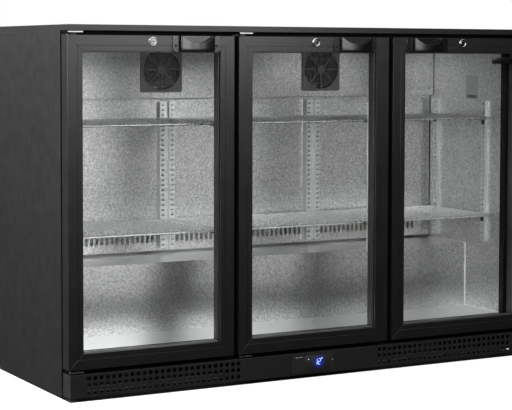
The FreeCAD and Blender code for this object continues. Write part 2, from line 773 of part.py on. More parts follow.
def hinge_bracket(door, upper):
    """A flat arm over or under the door with its pin, and a lug on the casing."""
    x0, x1 = door.span(*PLATE_SPAN)
    x = door.from_hinge(PIN_X)
    if upper:
        z0 = UPPER_PLATE_Z
        lug = block(x0, x1, CASE_FRONT - PLATE_THICK, CASE_FRONT, UPPER_LUG_BOTTOM, z0)
        pin = cylinder(V(x, PIN_Y, DOOR_TOP - PIN_GRIP), V(x, PIN_Y, z0), PIN_R)
    else:
        z0 = LOWER_PLATE_Z
        lug = block(x0, x1, CASE_FRONT - PLATE_THICK, CASE_FRONT, z0 + PLATE_THICK, LOWER_LUG_TOP)
        pin = cylinder(V(x, PIN_Y, z0 + PLATE_THICK), V(x, PIN_Y, DOOR_BOTTOM + PIN_GRIP), PIN_R)
    arm = block(x0, x1, PLATE_FRONT, CASE_FRONT, z0, z0 + PLATE_THICK)
    return arm.fuse([lug, pin])


def hinge_brackets():
    return [hinge_bracket(door, upper) for door in DOORS for upper in (True, False)]


def hinge_bush(door, upper):
    x = door.from_hinge(PIN_X)
    if upper:
        mouth, inward = V(x, PIN_Y, DOOR_TOP), V(0, 0, -1)
    else:
        mouth, inward = V(x, PIN_Y, DOOR_BOTTOM), V(0, 0, 1)
    body = Part.makeCylinder(BUSH_R, BUSH_LENGTH, mouth, inward)
    collar = Part.makeCylinder(COLLAR_R, COLLAR_THICK, mouth, inward * -1)
    bore = Part.makeCylinder(PIN_R + RUN_GAP, BUSH_LENGTH + 2 * OVER, mouth - inward * OVER, inward)
    return body.fuse(collar).cut(bore)


# ---- doors --------------------------------------------------------------
CHANNEL_NEAR = 28.0
CHANNEL_V = (6.0, 26.4)
GROOVE = (24.1, 24.9)
GROOVE_DEPTH = 0.9
BUSH_BORE = 20.0
PANE_PLAY = 0.2
TUBE_WALL = 2.0
TUBE_FAR = 26.0
PANE = 4.0
PANE_EDGE = 28.5
SPACER_SPAN = (30.0, 41.0)
GASKET_SPAN = (10.0, 20.0)
GASKET_REST_GAP = 0.4


def frame_profile(start, along, inward):
    """One straight hollow door profile; start is its outer front corner, cut square."""
    depth = V(0, 1, 0)
    reach = along / along.Length
    far_wall = DOOR_THICK - TUBE_WALL

    def at(u, v):
        return start + inward * u + depth * v

    outer = [at(0, 0), at(GROOVE[0], 0), at(GROOVE[0], GROOVE_DEPTH), at(GROOVE[1], GROOVE_DEPTH),
             at(GROOVE[1], 0), at(RAIL, 0), at(RAIL, CHANNEL_V[0]), at(CHANNEL_NEAR, CHANNEL_V[0]),
             at(CHANNEL_NEAR, CHANNEL_V[1]), at(RAIL, CHANNEL_V[1]), at(RAIL, DOOR_THICK),
             at(0, DOOR_THICK)]
    hollow = [at(TUBE_WALL, TUBE_WALL), at(TUBE_FAR, TUBE_WALL), at(TUBE_FAR, far_wall),
              at(TUBE_WALL, far_wall)]
    bar = pierced(polygon(outer), [polygon(hollow)], along)
    side = RAIL + 2 * OVER
    cuts = []
    for corner, way in ((start, reach), (start + along, reach * -1)):
        lip = corner - inward * OVER - way * OVER
        wedge = polygon([lip, lip + inward * side, lip + inward * side + way * side])
        prism = pierced(wedge, [], depth * (DOOR_THICK + 2 * OVER))
        prism.translate(depth * -OVER)
        cuts.append(prism)
    return bar.cut(cuts)


def door_frame(door):
    """Four mitred profiles, bored for the bushes and the lock and slotted for its cam."""
    left, right = door.left, door.right
    width, height = V(right - left, 0, 0), V(0, 0, DOOR_TOP - DOOR_BOTTOM)
    low_left = V(left, FRONT, DOOR_BOTTOM)
    top_left = V(left, FRONT, DOOR_TOP)
    low_right = V(right, FRONT, DOOR_BOTTOM)
    top = frame_profile(top_left, width, V(0, 0, -1))
    bottom = frame_profile(low_left, width, V(0, 0, 1))
    left_stile = frame_profile(low_left, height, V(1, 0, 0))
    right_stile = frame_profile(low_right, height, V(-1, 0, 0))
    hinge_x = door.from_hinge(PIN_X)
    top_bore = cylinder(V(hinge_x, PIN_Y, DOOR_TOP - BUSH_BORE), V(hinge_x, PIN_Y, DOOR_TOP), BUSH_R)
    low_bore = cylinder(V(hinge_x, PIN_Y, DOOR_BOTTOM), V(hinge_x, PIN_Y, DOOR_BOTTOM + BUSH_BORE), BUSH_R)
    lock_front = V(door.centre, FRONT, LOCK_Z)
    lock_bore = cylinder(lock_front, lock_front + V(0, 2 * TUBE_WALL, 0), LOCK_BODY_R + RUN_GAP)
    shanks = screw_holes(handle_seats(door, 0.0), V(0, -1, 0), SCREW_R, SCREW_SHANK)
    top = top.cut([top_bore, lock_bore, cam_slot(door, DOOR_TOP - 2 * TUBE_WALL, DOOR_TOP)] + shanks)
    bottom = bottom.cut(low_bore)
    return [top, bottom, left_stile, right_stile]


def ring(door, near, far, y0, y1):
    """A rectangular ring that follows the door's edge, from near to far inside it."""
    outer = block(door.left + near, door.right - near, y0, y1, DOOR_BOTTOM + near, DOOR_TOP - near)
    inner = block(door.left + far, door.right - far, y0, y1, DOOR_BOTTOM + far, DOOR_TOP - far)
    return outer.cut(inner)


def door_glass(door):
    """A double-glazed unit: outer pane, inner pane and the spacer between them."""
    outer_pane = FRONT + CHANNEL_V[0] + PANE_PLAY
    inner_pane = FRONT + CHANNEL_V[1] - PANE_PLAY - PANE
    solids = []
    for y in (outer_pane, inner_pane):
        solids.append(block(door.left + PANE_EDGE, door.right - PANE_EDGE, y, y + PANE,
                            DOOR_BOTTOM + PANE_EDGE, DOOR_TOP - PANE_EDGE))
    solids.append(ring(door, SPACER_SPAN[0], SPACER_SPAN[1], outer_pane + PANE, inner_pane))
    return solids


def door_gasket(door):
    rear = FRONT + DOOR_THICK
    return ring(door, GASKET_SPAN[0], GASKET_SPAN[1], rear, rear + GASKET_SPACE - GASKET_REST_GAP)


HANDLE_NEAR = 271.0
HANDLE_WIDTH = 129.5
HANDLE_BOTTOM = 831.0
HANDLE_TOP = DOOR_TOP - 0.2
HANDLE_TAB = 19.0
HANDLE_PLATE = 3.0
HANDLE_WALL = 2.5
HANDLE_END_PROUD = 13.0
HANDLE_DIP_Z = 851.7
HANDLE_SCREW_Z = 846.0
HANDLE_CORNER_R = 9.0


def handle_seats(door, proud):
    """Where the heads of the two handle screws sit, this far in front of the door."""
    spots = (HANDLE_NEAR + HANDLE_TAB / 2, HANDLE_NEAR + HANDLE_WIDTH - HANDLE_TAB / 2)
    return [V(door.from_hinge(spot), FRONT - proud, HANDLE_SCREW_Z) for spot in spots]


def bowed_block(x0, x1, end_y, middle_y, z0, z1):
    """A block whose front face bulges from end_y at its sides to middle_y at its middle."""
    a, b = V(x0, end_y, z0), V(x1, end_y, z0)
    peak = V((x0 + x1) / 2, middle_y, z0)
    rear_a, rear_b = V(x0, FRONT, z0), V(x1, FRONT, z0)
    wire = Part.Wire([Part.Arc(a, peak, b).toShape(), Part.makeLine(b, rear_b),
                      Part.makeLine(rear_b, rear_a), Part.makeLine(rear_a, a)])
    return Part.Face(wire).extrude(V(0, 0, z1 - z0))


def door_handle(door):
    """A cup pull: a flat plate with a bowed cup whose lip dips in the middle."""
    x0, x1 = door.span(HANDLE_NEAR, HANDLE_NEAR + HANDLE_WIDTH)
    centre = (x0 + x1) / 2
    plate = block(x0, x1, FRONT - HANDLE_PLATE, FRONT, HANDLE_BOTTOM, HANDLE_TOP)
    corners = [edge for edge in plate.Edges
               if edge.BoundBox.ZMax < HANDLE_BOTTOM + OVER and edge.BoundBox.XLength < OVER]
    plate = plate.makeFillet(HANDLE_CORNER_R, corners)
    cup0, cup1 = x0 + HANDLE_TAB, x1 - HANDLE_TAB
    proud = FRONT - HANDLE_PROUD
    shell = bowed_block(cup0, cup1, FRONT - HANDLE_END_PROUD, proud, HANDLE_BOTTOM, HANDLE_TOP)
    w = HANDLE_WALL
    room = bowed_block(cup0 + w, cup1 - w, FRONT - HANDLE_END_PROUD + w, proud + w,
                       HANDLE_BOTTOM + w, HANDLE_TOP + OVER)
    keep_plate = block(x0, x1, FRONT - HANDLE_PLATE, FRONT, HANDLE_BOTTOM, HANDLE_TOP + 2 * OVER)
    room = room.cut(keep_plate)
    half_chord = (cup1 - cup0) / 2 - w
    sagitta = HANDLE_TOP - HANDLE_DIP_Z
    radius = (half_chord ** 2 + sagitta ** 2) / (2 * sagitta)
    dip_centre = V(centre, 0, HANDLE_DIP_Z + radius)
    dip = cylinder(dip_centre + V(0, proud - OVER, 0), dip_centre + V(0, FRONT - HANDLE_PLATE, 0), radius)
    body = plate.fuse(shell.cut([room, dip]))
    return body.cut(screw_holes(handle_seats(door, 0.0), V(0, 1, 0), SCREW_R, HANDLE_PLATE))


def door_fittings(door):
    """Two hinge bushes and the two screws of the handle."""
    solids = [hinge_bush(door, True), hinge_bush(door, False)]
    for seat in handle_seats(door, HANDLE_PLATE):
        solids.append(screw(seat, V(0, -1, 0), SCREW_R, HANDLE_PLATE + SCREW_SHANK))
    return solids


BEZEL_THICK = 2.0
BEZEL_R = 11.5
BARREL_LENGTH = 20.0
PLUG_PROUD = 2.4
CAM_BOSS_R = 5.5
CAM_HALF_WIDTH = 5.0
KEY_SLOT_HALF = (4.0, 1.0)
KEY_SLOT_DEPTH = 2.0


def lock_barrel(door):
    """The fixed part of the lock: a round bezel on the rail and the barrel behind it."""
    front = V(door.centre, FRONT, LOCK_Z)
    bezel_front = front - V(0, BEZEL_THICK, 0)
    rear = front + V(0, BARREL_LENGTH, 0)
    bezel = cylinder(bezel_front, front, BEZEL_R)
    barrel = cylinder(front, rear, LOCK_BODY_R)
    bore = cylinder(bezel_front - V(0, OVER, 0), rear + V(0, OVER, 0), LOCK_PLUG_R + RUN_GAP)
    return bezel.fuse(barrel).cut(bore)


def lock_plug(door):
    """The turning plug with its key slot, and the cam on its inner end."""
    x = door.centre
    cam_front = V(x, CAM_Y, LOCK_Z)
    cam_back = CAM_Y + CAM_THICK
    plug = cylinder(V(x, FRONT - PLUG_PROUD, LOCK_Z), cam_front, LOCK_PLUG_R)
    half_width, half_height = KEY_SLOT_HALF
    slot = block(x - half_width, x + half_width, FRONT - PLUG_PROUD - OVER, FRONT + KEY_SLOT_DEPTH,
                 LOCK_Z - half_height, LOCK_Z + half_height)
    boss = cylinder(cam_front, V(x, cam_back, LOCK_Z), CAM_BOSS_R)
    cam = block(x, x + CAM_REACH, CAM_Y, cam_back, LOCK_Z - CAM_HALF_WIDTH, LOCK_Z + CAM_HALF_WIDTH)
    return plug.cut(slot).fuse([boss, cam])


# ---- machine space ------------------------------------------------------
CONDENSER_X = (-330.0, -70.0)
CONDENSER_ROWS = (62.0, 84.0)
CONDENSER_LEVELS = spread(36.0, 216.0, 30.0)
SHROUD_Y = 98.0
CONDENSER_FAN = V(-200.0, 118.0, 126.0)
CONDENSER_FAN_R = 88.0
CONDENSER_HUB_R = 26.0
CONDENSER_FAN_DEPTH = 22.0
SHROUD_Z = (22.0, 230.0)
SHROUD_DEPTH = 30.0
SHROUD_ROOM = 5.0
FAN_MOTOR_R = 28.0
FAN_MOTOR_LENGTH = 36.0
FAN_MOTOR_Y = SHROUD_Y + 34.0
FAN_SHAFT_REACH = 21.0
CONDENSER_SHAFT_R = 3.0
STRAP_INSET = 12.0
STRAP_THICK = 3.0
STRAP_HALF = 6.0
STRAP_Y = FAN_MOTOR_Y + 8.0
STRAP_Z = (CONDENSER_FAN.z - 14.0, CONDENSER_FAN.z + 14.0)
STAY_WIDTH = 10.0
COMPRESSOR = V(300.0, 145.0, 0.0)
COMPRESSOR_R = 76.0


def condenser():
    """The finned coil, the shroud behind it and the motor that carries the fan."""
    solids, first, last = finned_coil(CONDENSER_X[0], CONDENSER_X[1], CONDENSER_ROWS, CONDENSER_LEVELS,
                                      4.0, 6.5, 12.0)
    x0, x1 = CONDENSER_X
    z0, z1 = SHROUD_Z
    centre = V(CONDENSER_FAN.x, 0, CONDENSER_FAN.z)
    front = V(centre.x, SHROUD_Y, centre.z)
    outline = polygon([V(x0, SHROUD_Y, z0), V(x1, SHROUD_Y, z0), V(x1, SHROUD_Y, z1), V(x0, SHROUD_Y, z1)])
    opening = circle(front, CONDENSER_FAN_R + SHROUD_ROOM, V(0, 1, 0))
    shroud = pierced(outline, [opening], V(0, SHROUD_DEPTH, 0))
    motor_front = centre + V(0, FAN_MOTOR_Y, 0)
    motor = cylinder(motor_front, motor_front + V(0, FAN_MOTOR_LENGTH, 0), FAN_MOTOR_R)
    shaft = cylinder(motor_front - V(0, FAN_SHAFT_REACH, 0), motor_front, CONDENSER_SHAFT_R)
    legs, stays = [], []
    left, right = x0 + STRAP_INSET, x1 - STRAP_INSET
    for z in STRAP_Z:
        z_low, z_high = z - STRAP_HALF, z + STRAP_HALF
        legs.append(block(left, right, STRAP_Y, STRAP_Y + STRAP_THICK, z_low, z_high))
        for x in (left, right - STAY_WIDTH):
            stays.append(block(x, x + STAY_WIDTH, SHROUD_Y + SHROUD_DEPTH, STRAP_Y, z_low, z_high))
    holder = motor.fuse([shaft] + legs + stays)
    return solids + [shroud, holder], first, last


def compressor():
    """A welded steel pot on a foot plate, with its terminal cover and four rubber mounts."""
    c = COMPRESSOR
    radius = COMPRESSOR_R
    wall = cylinder(c + V(0, 0, 62), c + V(0, 0, 168), radius)
    domes = []
    for z, lift in ((62, -1), (168, 1)):
        ball = Part.makeSphere(radius * 1.35, c + V(0, 0, z - lift * radius * 0.907))
        slab = block(c.x - radius, c.x + radius, c.y - radius, c.y + radius, min(z, z + lift * 40),
                     max(z, z + lift * 40))
        domes.append(ball.common(slab))
    seam = cylinder(c + V(0, 0, 112), c + V(0, 0, 118), radius + 3)
    foot = block(c.x - 95, c.x + 95, c.y - 70, c.y + 70, 27, 30)
    stand = cylinder(c + V(0, 0, 30), c + V(0, 0, 50), 45)
    pot = wall.fuse(domes + [seam, stand, foot])
    cover = block(c.x - 28, c.x + 28, c.y - radius - 26, c.y - radius - 4, 80, 150)
    mounts = []
    for dx in (-82, 82):
        for dy in (-57, 57):
            mounts.append(cylinder(c + V(dx, dy, BASE_Z + BASE_SHEET), c + V(dx, dy, 27), 11))
    return [pot, cover] + mounts


def refrigerant_pipes(condenser_ends, evaporator_ends):
    """Discharge, liquid and suction lines, with the filter drier in the liquid line."""
    cond_first, cond_last = condenser_ends
    evap_first, evap_last = evaporator_ends
    tube, fine, bend = 4.0, 2.5, 14.0
    pot_left = COMPRESSOR.x - COMPRESSOR_R - 0.5
    discharge = pipe([V(pot_left, COMPRESSOR.y, 150), V(150, COMPRESSOR.y, 150), V(150, cond_first.y, 150),
                      V(150, cond_first.y, cond_first.z), cond_first], tube, bend)
    drier_x = 60.0
    drier_y = cond_last.y
    liquid_a = pipe([cond_last, V(drier_x - 40, drier_y, cond_last.z)], fine, bend)
    drier = cylinder(V(drier_x - 40, drier_y, cond_last.z), V(drier_x + 40, drier_y, cond_last.z), 11)
    riser_x = PIPE_HOLE.x
    liquid_b = pipe([V(drier_x + 40, drier_y, cond_last.z), V(riser_x - 10, drier_y, cond_last.z),
                     V(riser_x - 10, PIPE_HOLE.y - 4, cond_last.z), V(riser_x - 10, PIPE_HOLE.y - 4, 690),
                     V(riser_x - 10, evap_first.y, 690), V(riser_x - 10, evap_first.y, evap_first.z),
                     evap_first], fine, 6.0)
    pot_right = COMPRESSOR.x + COMPRESSOR_R + 0.5
    suction = pipe([evap_last, V(riser_x + 8, evap_last.y, evap_last.z), V(riser_x + 8, evap_last.y, 670),
                    V(riser_x + 8, PIPE_HOLE.y - 2, 670), V(riser_x + 8, PIPE_HOLE.y - 2, 120),
                    V(riser_x + 8, COMPRESSOR.y, 120), V(pot_right + 3.0, COMPRESSOR.y, 120)], 4.5, 8.0)
    return [discharge, liquid_a, drier, liquid_b, suction]


def drain_tray():
    """The open tray that catches and dries the defrost water."""
    outer = block(20, 160, 112, 232, BASE_Z + BASE_SHEET, 62)
    inner = block(22, 158, 114, 230, BASE_Z + BASE_SHEET + 2, 70)
    return outer.cut(inner)


INLET = V(600.0, 0.0, 60.0)


def rear_grille():
    """The louvred plate over the machine space, with the hole for the power inlet."""
    z0, z1 = BASE_Z + 2, MACHINE_TOP - SKIN
    x0, x1 = -HALF + FLANGE + 1, HALF - FLANGE - 1
    outline = polygon([V(x0, GRILLE_Y, z0), V(x1, GRILLE_Y, z0), V(x1, GRILLE_Y, z1), V(x0, GRILLE_Y, z1)])
    holes = []
    for x in spread(-560.0, 520.0, 120.0):
        for z in spread(50.0, 210.0, 16.0):
            holes.append(polygon([V(x - 45, GRILLE_Y, z - 3), V(x + 45, GRILLE_Y, z - 3),
                                  V(x + 45, GRILLE_Y, z + 3), V(x - 45, GRILLE_Y, z + 3)]))
    holes.append(circle(V(INLET.x, GRILLE_Y, INLET.z), 10.0, V(0, 1, 0)))
    plate = pierced(outline, holes, V(0, -SKIN, 0))
    return plate.cut(screw_holes(GRILLE_SEATS, V(0, 1, 0), SCREW_R, SCREW_SHANK))


def power_inlet():
    """A cable gland for the supply lead: threaded body, lock nut and domed cap."""
    at = V(INLET.x, GRILLE_Y, INLET.z)
    body = cylinder(at - V(0, 14, 0), at + V(0, 4, 0), 10.0)
    nut = cylinder(at - V(0, 6, 0), at - V(0, SKIN, 0), 14.0)
    cap = cylinder(at, at + V(0, 10.5, 0), 13.0)
    bore = cylinder(at - V(0, 20, 0), at + V(0, 20, 0), 4.0)
    return body.fuse([nut, cap]).cut(bore)


def cabinet_screws():
    screws = [screw(seat, V(0, 1, 0), SCREW_R, SCREW_SHANK) for seat in REAR_SEATS + GRILLE_SEATS]
    screws += [screw(seat, V(0, -1, 0), SCREW_R, SCREW_SHANK) for seat in COVER_SEATS]
    screws += [screw(seat, out, SCREW_R, SCREW_SHANK) for seat, out in mullion_seats()]
    return screws


# ---- write every node ---------------------------------------------------
def write_casing():
    panel = side_panel()
    save("worktop", [worktop()])
    save("side_panel_right", [panel])
    save("side_panel_left", [mirrored(panel)])
    save("rear_panel", [rear_panel()])
    save("base_pan", [base_pan()])
    save("levelling_feet", [levelling_foot(spot) for spot in FOOT_SPOTS])
    save("foam_insulation", [foam_insulation(), top_core()])
    save("machine_space_liner", [machine_space_liner()])
    save("kick_plate", [kick_plate()])
    save("controller", controller())
    save("hinge_brackets", hinge_brackets())
    save("rear_grille", [rear_grille()])
    save("power_inlet", [power_inlet()])
    save("cabinet_screws", cabinet_screws())


def write_inner_cabinet():
    save("inner_liner", inner_liner())
    save("floor_liner", [floor_liner()])
    save("hump_cover", [hump_cover()])
    save("duct_panel", [duct_panel()])
    save("evaporator_cover", [evaporator_cover()])
    fans = (-FAN_X, FAN_X)
    save("evaporator_fan_housings", [fan_frame(x) for x in fans] + [fan_guard(x) for x in fans])
    save("front_frame", front_frame())
    save("mullions", mullions())
    save("shelf_tracks", shelf_tracks())
    save("shelf_clips", shelf_clips())
    save("led_strip", led_strip())
    for level_name, level in SHELF_LEVELS.items():
        for bay_name, (x0, x1) in SHELF_BAYS.items():
            save("shelf_%s_%s" % (level_name, bay_name), wire_shelf(x0, x1, level))
    for side, x in zip(("left", "right"), fans):
        centre = V(x, FAN_ROTOR_Y, FAN_Z)
        rotor = fan_rotor(centre, FAN_HUB_R, FAN_TIP_R, FAN_ROTOR_DEPTH, FAN_BLADES, FAN_SHAFT_R)
        save("evaporator_fan_%s" % side, [rotor])


def write_doors():
    for door in DOORS:
        save(door.name + "_frame", door_frame(door))
        save(door.name + "_glass", door_glass(door))
        save(door.name + "_gasket", [door_gasket(door)])
        save(door.name + "_handle", [door_handle(door)])
        save(door.name + "_fittings", door_fittings(door))
        save(door.name + "_lock_barrel", [lock_barrel(door)])
        save(door.name + "_lock_plug", [lock_plug(door)])


def write_cooling():
    coil, evap_first, evap_last = evaporator_coil()
    save("evaporator_coil", coil)
    coil, cond_first, cond_last = condenser()
    save("condenser", coil)
    rotor = fan_rotor(CONDENSER_FAN, CONDENSER_HUB_R, CONDENSER_FAN_R, CONDENSER_FAN_DEPTH, FAN_BLADES,
                      CONDENSER_SHAFT_R)
    save("condenser_fan", [rotor])
    save("compressor", compressor())
    save("refrigerant_pipes", refrigerant_pipes((cond_first, cond_last), (evap_first, evap_last)))
    save("drain_tray", [drain_tray()])


os.makedirs("parts", exist_ok=True)
write_casing()
write_inner_cabinet()
write_doors()
write_cooling()
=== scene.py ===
"""Looks of a three-door glass-front bottle cooler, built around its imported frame.

Metres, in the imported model's frame: +X runs along the front, -Y points out of the doors, +Z is up.
"""
import math

import bmesh
import bpy
from mathutils import Matrix, Vector


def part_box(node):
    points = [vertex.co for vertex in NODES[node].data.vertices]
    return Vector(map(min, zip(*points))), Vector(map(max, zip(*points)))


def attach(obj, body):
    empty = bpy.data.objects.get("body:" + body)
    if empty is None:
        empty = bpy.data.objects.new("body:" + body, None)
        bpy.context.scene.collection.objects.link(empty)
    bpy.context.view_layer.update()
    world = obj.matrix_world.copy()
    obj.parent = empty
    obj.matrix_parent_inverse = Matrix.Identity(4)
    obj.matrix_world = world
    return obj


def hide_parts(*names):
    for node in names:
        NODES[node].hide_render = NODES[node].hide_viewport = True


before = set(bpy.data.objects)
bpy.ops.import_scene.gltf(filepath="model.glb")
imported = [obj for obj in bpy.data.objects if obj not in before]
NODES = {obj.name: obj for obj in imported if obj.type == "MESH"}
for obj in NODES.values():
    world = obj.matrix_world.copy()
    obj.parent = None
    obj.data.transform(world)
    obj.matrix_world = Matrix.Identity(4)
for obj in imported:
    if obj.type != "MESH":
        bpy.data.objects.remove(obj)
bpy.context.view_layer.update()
MM = 0.001
DOOR_NAMES = ("door_left", "door_middle", "door_right")


# ---- procedural finishes ------------------------------------------------
class Nodes:
    """Short calls that add and link the nodes of one tree."""

    def __init__(self, tree):
        self.tree = tree

    def node(self, kind, **settings):
        made = self.tree.nodes.new(kind)
        for key, value in settings.items():
            setattr(made, key, value)
        return made

    def link(self, output, target):
        self.tree.links.new(output, target)

    def axes(self, vector):
        """The X, Y and Z outputs of a vector."""
        made = self.node("ShaderNodeSeparateXYZ")
        self.link(vector, made.inputs["Vector"])
        return made.outputs

    def maths(self, operation, *values):
        """A Math node over outputs and plain numbers."""
        made = self.node("ShaderNodeMath", operation=operation)
        for socket, value in zip(made.inputs, values):
            if isinstance(value, float):
                socket.default_value = value
            else:
                self.link(value, socket)
        return made.outputs["Value"]

    def remap(self, value, low, high, start=0.0, end=1.0):
        """Goes from low to high as the value goes from start to end."""
        made = self.node("ShaderNodeMapRange")
        made.inputs["From Min"].default_value = start
        made.inputs["From Max"].default_value = end
        made.inputs["To Min"].default_value = low
        made.inputs["To Max"].default_value = high
        self.link(value, made.inputs["Value"])
        return made.outputs["Result"]

    def mix_shaders(self, factor, first, second):
        made = self.node("ShaderNodeMixShader")
        self.link(factor, made.inputs["Fac"])
        self.link(first, made.inputs[1])
        self.link(second, made.inputs[2])
        return made.outputs["Shader"]


class Finish(Nodes):
    """A Principled material whose colour, gloss and relief come from procedural nodes."""

    def __init__(self, name, colour, roughness, metallic=0.0):
        self.material = bpy.data.materials.new(name)
        self.material.use_nodes = True
        super().__init__(self.material.node_tree)
        self.shader = self.tree.nodes["Principled BSDF"]
        self.set("Base Color", (*colour, 1.0))
        self.set("Roughness", roughness)
        self.set("Metallic", metallic)
        self.colour = colour
        self.roughness = roughness
        self.place = self.node("ShaderNodeTexCoord").outputs["Object"]
        self.relief = None

    def set(self, socket, value):
        self.shader.inputs[socket].default_value = value

    def stretched(self, x, y, z):
        """Object coordinates scaled per axis, for grain that runs one way."""
        mapping = self.node("ShaderNodeMapping")
        mapping.inputs["Scale"].default_value = (x, y, z)
        self.link(self.place, mapping.inputs["Vector"])
        return mapping.outputs["Vector"]

    def noise(self, scale, detail=2.0, place=None):
        texture = self.node("ShaderNodeTexNoise")
        texture.inputs["Scale"].default_value = scale
        texture.inputs["Detail"].default_value = detail
        self.link(place or self.place, texture.inputs["Vector"])
        return texture.outputs["Fac"]

    def cells(self, scale, feature="SMOOTH_F1"):
        """A Voronoi texture's outputs, for cells this many to the metre."""
        texture = self.node("ShaderNodeTexVoronoi", feature=feature)
        texture.inputs["Scale"].default_value = scale
        self.link(self.place, texture.inputs["Vector"])
        return texture.outputs

    def cell_grey(self, scale):
        """One random grey for each cell."""
        made = self.node("ShaderNodeRGBToBW")
        self.link(self.cells(scale, "F1")["Color"], made.inputs["Color"])
        return made.outputs["Val"]

    def blend(self, factor, first, second):
        """A colour between two, each a plain colour or another node's output."""
        made = self.node("ShaderNodeMix", data_type="RGBA")
        self.link(factor, made.inputs["Factor"])
        for socket, colour in ((made.inputs[6], first), (made.inputs[7], second)):
            if isinstance(colour, tuple):
                socket.default_value = (*colour, 1.0)
            else:
                self.link(colour, socket)
        return made.outputs[2]

    def tint(self, factor, spread):
        """Lets the base colour drift by this share either way."""
        darker = tuple(c * (1 - spread) for c in self.colour)
        lighter = tuple(min(1.0, c * (1 + spread)) for c in self.colour)
        self.link(self.blend(factor, darker, lighter), self.shader.inputs["Base Color"])

    def sheen_drift(self, factor, spread):
        """Lets the roughness drift by this much either way."""
        low, high = max(0.0, self.roughness - spread), self.roughness + spread
        self.link(self.remap(factor, low, high), self.shader.inputs["Roughness"])

    def bump(self, height, depth, strength=1.0):
        """Adds relief of this depth over any relief that is there already."""
        made = self.node("ShaderNodeBump")
        made.inputs["Distance"].default_value = depth
        made.inputs["Strength"].default_value = strength
        self.link(height, made.inputs["Height"])
        if self.relief is not None:
            self.link(self.relief, made.inputs["Normal"])
        self.relief = made.outputs["Normal"]
        self.link(self.relief, self.shader.inputs["Normal"])


def powder_coat(name, colour, roughness, specular):
    """Baked black paint: a fine orange peel over slow changes of tone."""
    finish = Finish(name, colour, roughness)
    finish.set("Specular IOR Level", specular)
    finish.tint(finish.noise(7.0), 0.12)
    finish.sheen_drift(finish.noise(30.0, 4.0), 0.06)
    finish.bump(finish.noise(420.0), 0.05 * MM, 0.5)
    finish.bump(finish.noise(1500.0), 0.03 * MM, 0.6)
    return finish.material


def moulded_plastic(name, colour, roughness, grain):
    """Moulded plastic with a fine spark-eroded grain."""
    finish = Finish(name, colour, roughness)
    finish.tint(finish.noise(25.0), 0.15)
    finish.sheen_drift(finish.noise(90.0, 3.0), 0.05)
    finish.bump(finish.cells(1300.0, "F1")["Distance"], grain * MM, 0.6)
    return finish.material


def gloss_plastic(name, colour):
    """Polished black plastic with faint flow waves under a clear gloss."""
    finish = Finish(name, colour, 0.24)
    finish.set("Specular IOR Level", 1.0)
    finish.set("Coat Weight", 0.8)
    finish.set("Coat Roughness", 0.12)
    finish.tint(finish.noise(30.0), 0.2)
    finish.sheen_drift(finish.noise(60.0, 3.0), 0.03)
    finish.bump(finish.noise(900.0), 0.01 * MM, 0.3)
    return finish.material


def stucco_metal(name, colour, roughness, depth):
    """Embossed aluminium: small smooth dimples on upright faces, plainer where it lies flat; their
    glints and shade are also painted into the colour, cell by cell.
    """
    finish = Finish(name, colour, roughness, 1.0)
    normal = finish.axes(finish.node("ShaderNodeNewGeometry").outputs["Normal"])
    upright = finish.remap(finish.maths("ABSOLUTE", normal["Z"]), 1.0, 0.0, 0.5, 0.8)
    # painted light and shade: each dimple cell darkened by a random share, standing in for the
    # dimples' glints and shade
    painted_dimple_shading = finish.maths("MULTIPLY", finish.cell_grey(290.0), upright)
    base = finish.blend(finish.noise(9.0), tuple(c * 0.92 for c in colour), colour)
    # the deepest painted shade of a dimple cell
    darker = tuple(c * 0.45 for c in colour)
    finish.link(finish.blend(painted_dimple_shading, base, darker), finish.shader.inputs["Base Color"])
    finish.sheen_drift(finish.noise(50.0, 3.0), 0.05)
    dimples = finish.maths("MULTIPLY", finish.cells(300.0)["Distance"], upright)
    finish.bump(dimples, depth * MM)
    return finish.material


def plain_metal(name, colour, roughness, grain=(1.0, 1.0, 1.0)):
    """Mill-finish sheet with faint rolling lines along one direction."""
    finish = Finish(name, colour, roughness, 1.0)
    lines = finish.noise(220.0, 4.0, finish.stretched(*grain))
    finish.tint(finish.noise(11.0, 3.0), 0.08)
    finish.sheen_drift(lines, 0.08)
    finish.bump(lines, 0.02 * MM, 0.5)
    return finish.material


def spangled_zinc(name, colour):
    """Hot-dip galvanised sheet: large pale crystals, each with its own gloss."""
    finish = Finish(name, colour, 0.45, 0.9)
    crystal = finish.cell_grey(95.0)
    finish.tint(crystal, 0.16)
    finish.sheen_drift(crystal, 0.12)
    finish.bump(finish.noise(600.0), 0.02 * MM, 0.4)
    return finish.material


def polishing_haze(finish):
    """The faint scratches that polishing leaves in a bright surface."""
    finish.sheen_drift(finish.noise(160.0, 4.0), min(finish.roughness, 0.06))
    finish.bump(finish.noise(900.0), 0.01 * MM, 0.4)


def plated(name, colour, roughness, metallic=1.0):
    """Bright plating, or bright coated wire when less metallic."""
    finish = Finish(name, colour, roughness, metallic)
    finish.tint(finish.noise(60.0, 3.0), 0.08)
    polishing_haze(finish)
    return finish.material


def hinge_plating(name, colour, front, depth):
    """Zinc plate in its own colour at its front edge, darkened further back as painted shade."""
    finish = Finish(name, colour, 0.3, 1.0)
    # painted shade: the zinc's colour fades to a dark shade over the given depth behind the front
    # edge
    shade_by_depth = finish.remap(finish.axes(finish.place)["Y"], 0.0, 1.0, front, front + depth)
    painted_shade = tuple(c * 0.08 for c in colour)
    finish.link(finish.blend(shade_by_depth, colour, painted_shade), finish.shader.inputs["Base Color"])
    polishing_haze(finish)
    return finish.material


def rubber(name, colour):
    """Soft black rubber with a worn, uneven surface."""
    finish = Finish(name, colour, 0.7)
    finish.tint(finish.noise(40.0, 3.0), 0.2)
    finish.sheen_drift(finish.noise(120.0, 3.0), 0.1)
    finish.bump(finish.noise(700.0, 3.0), 0.06 * MM, 0.6)
    return finish.material


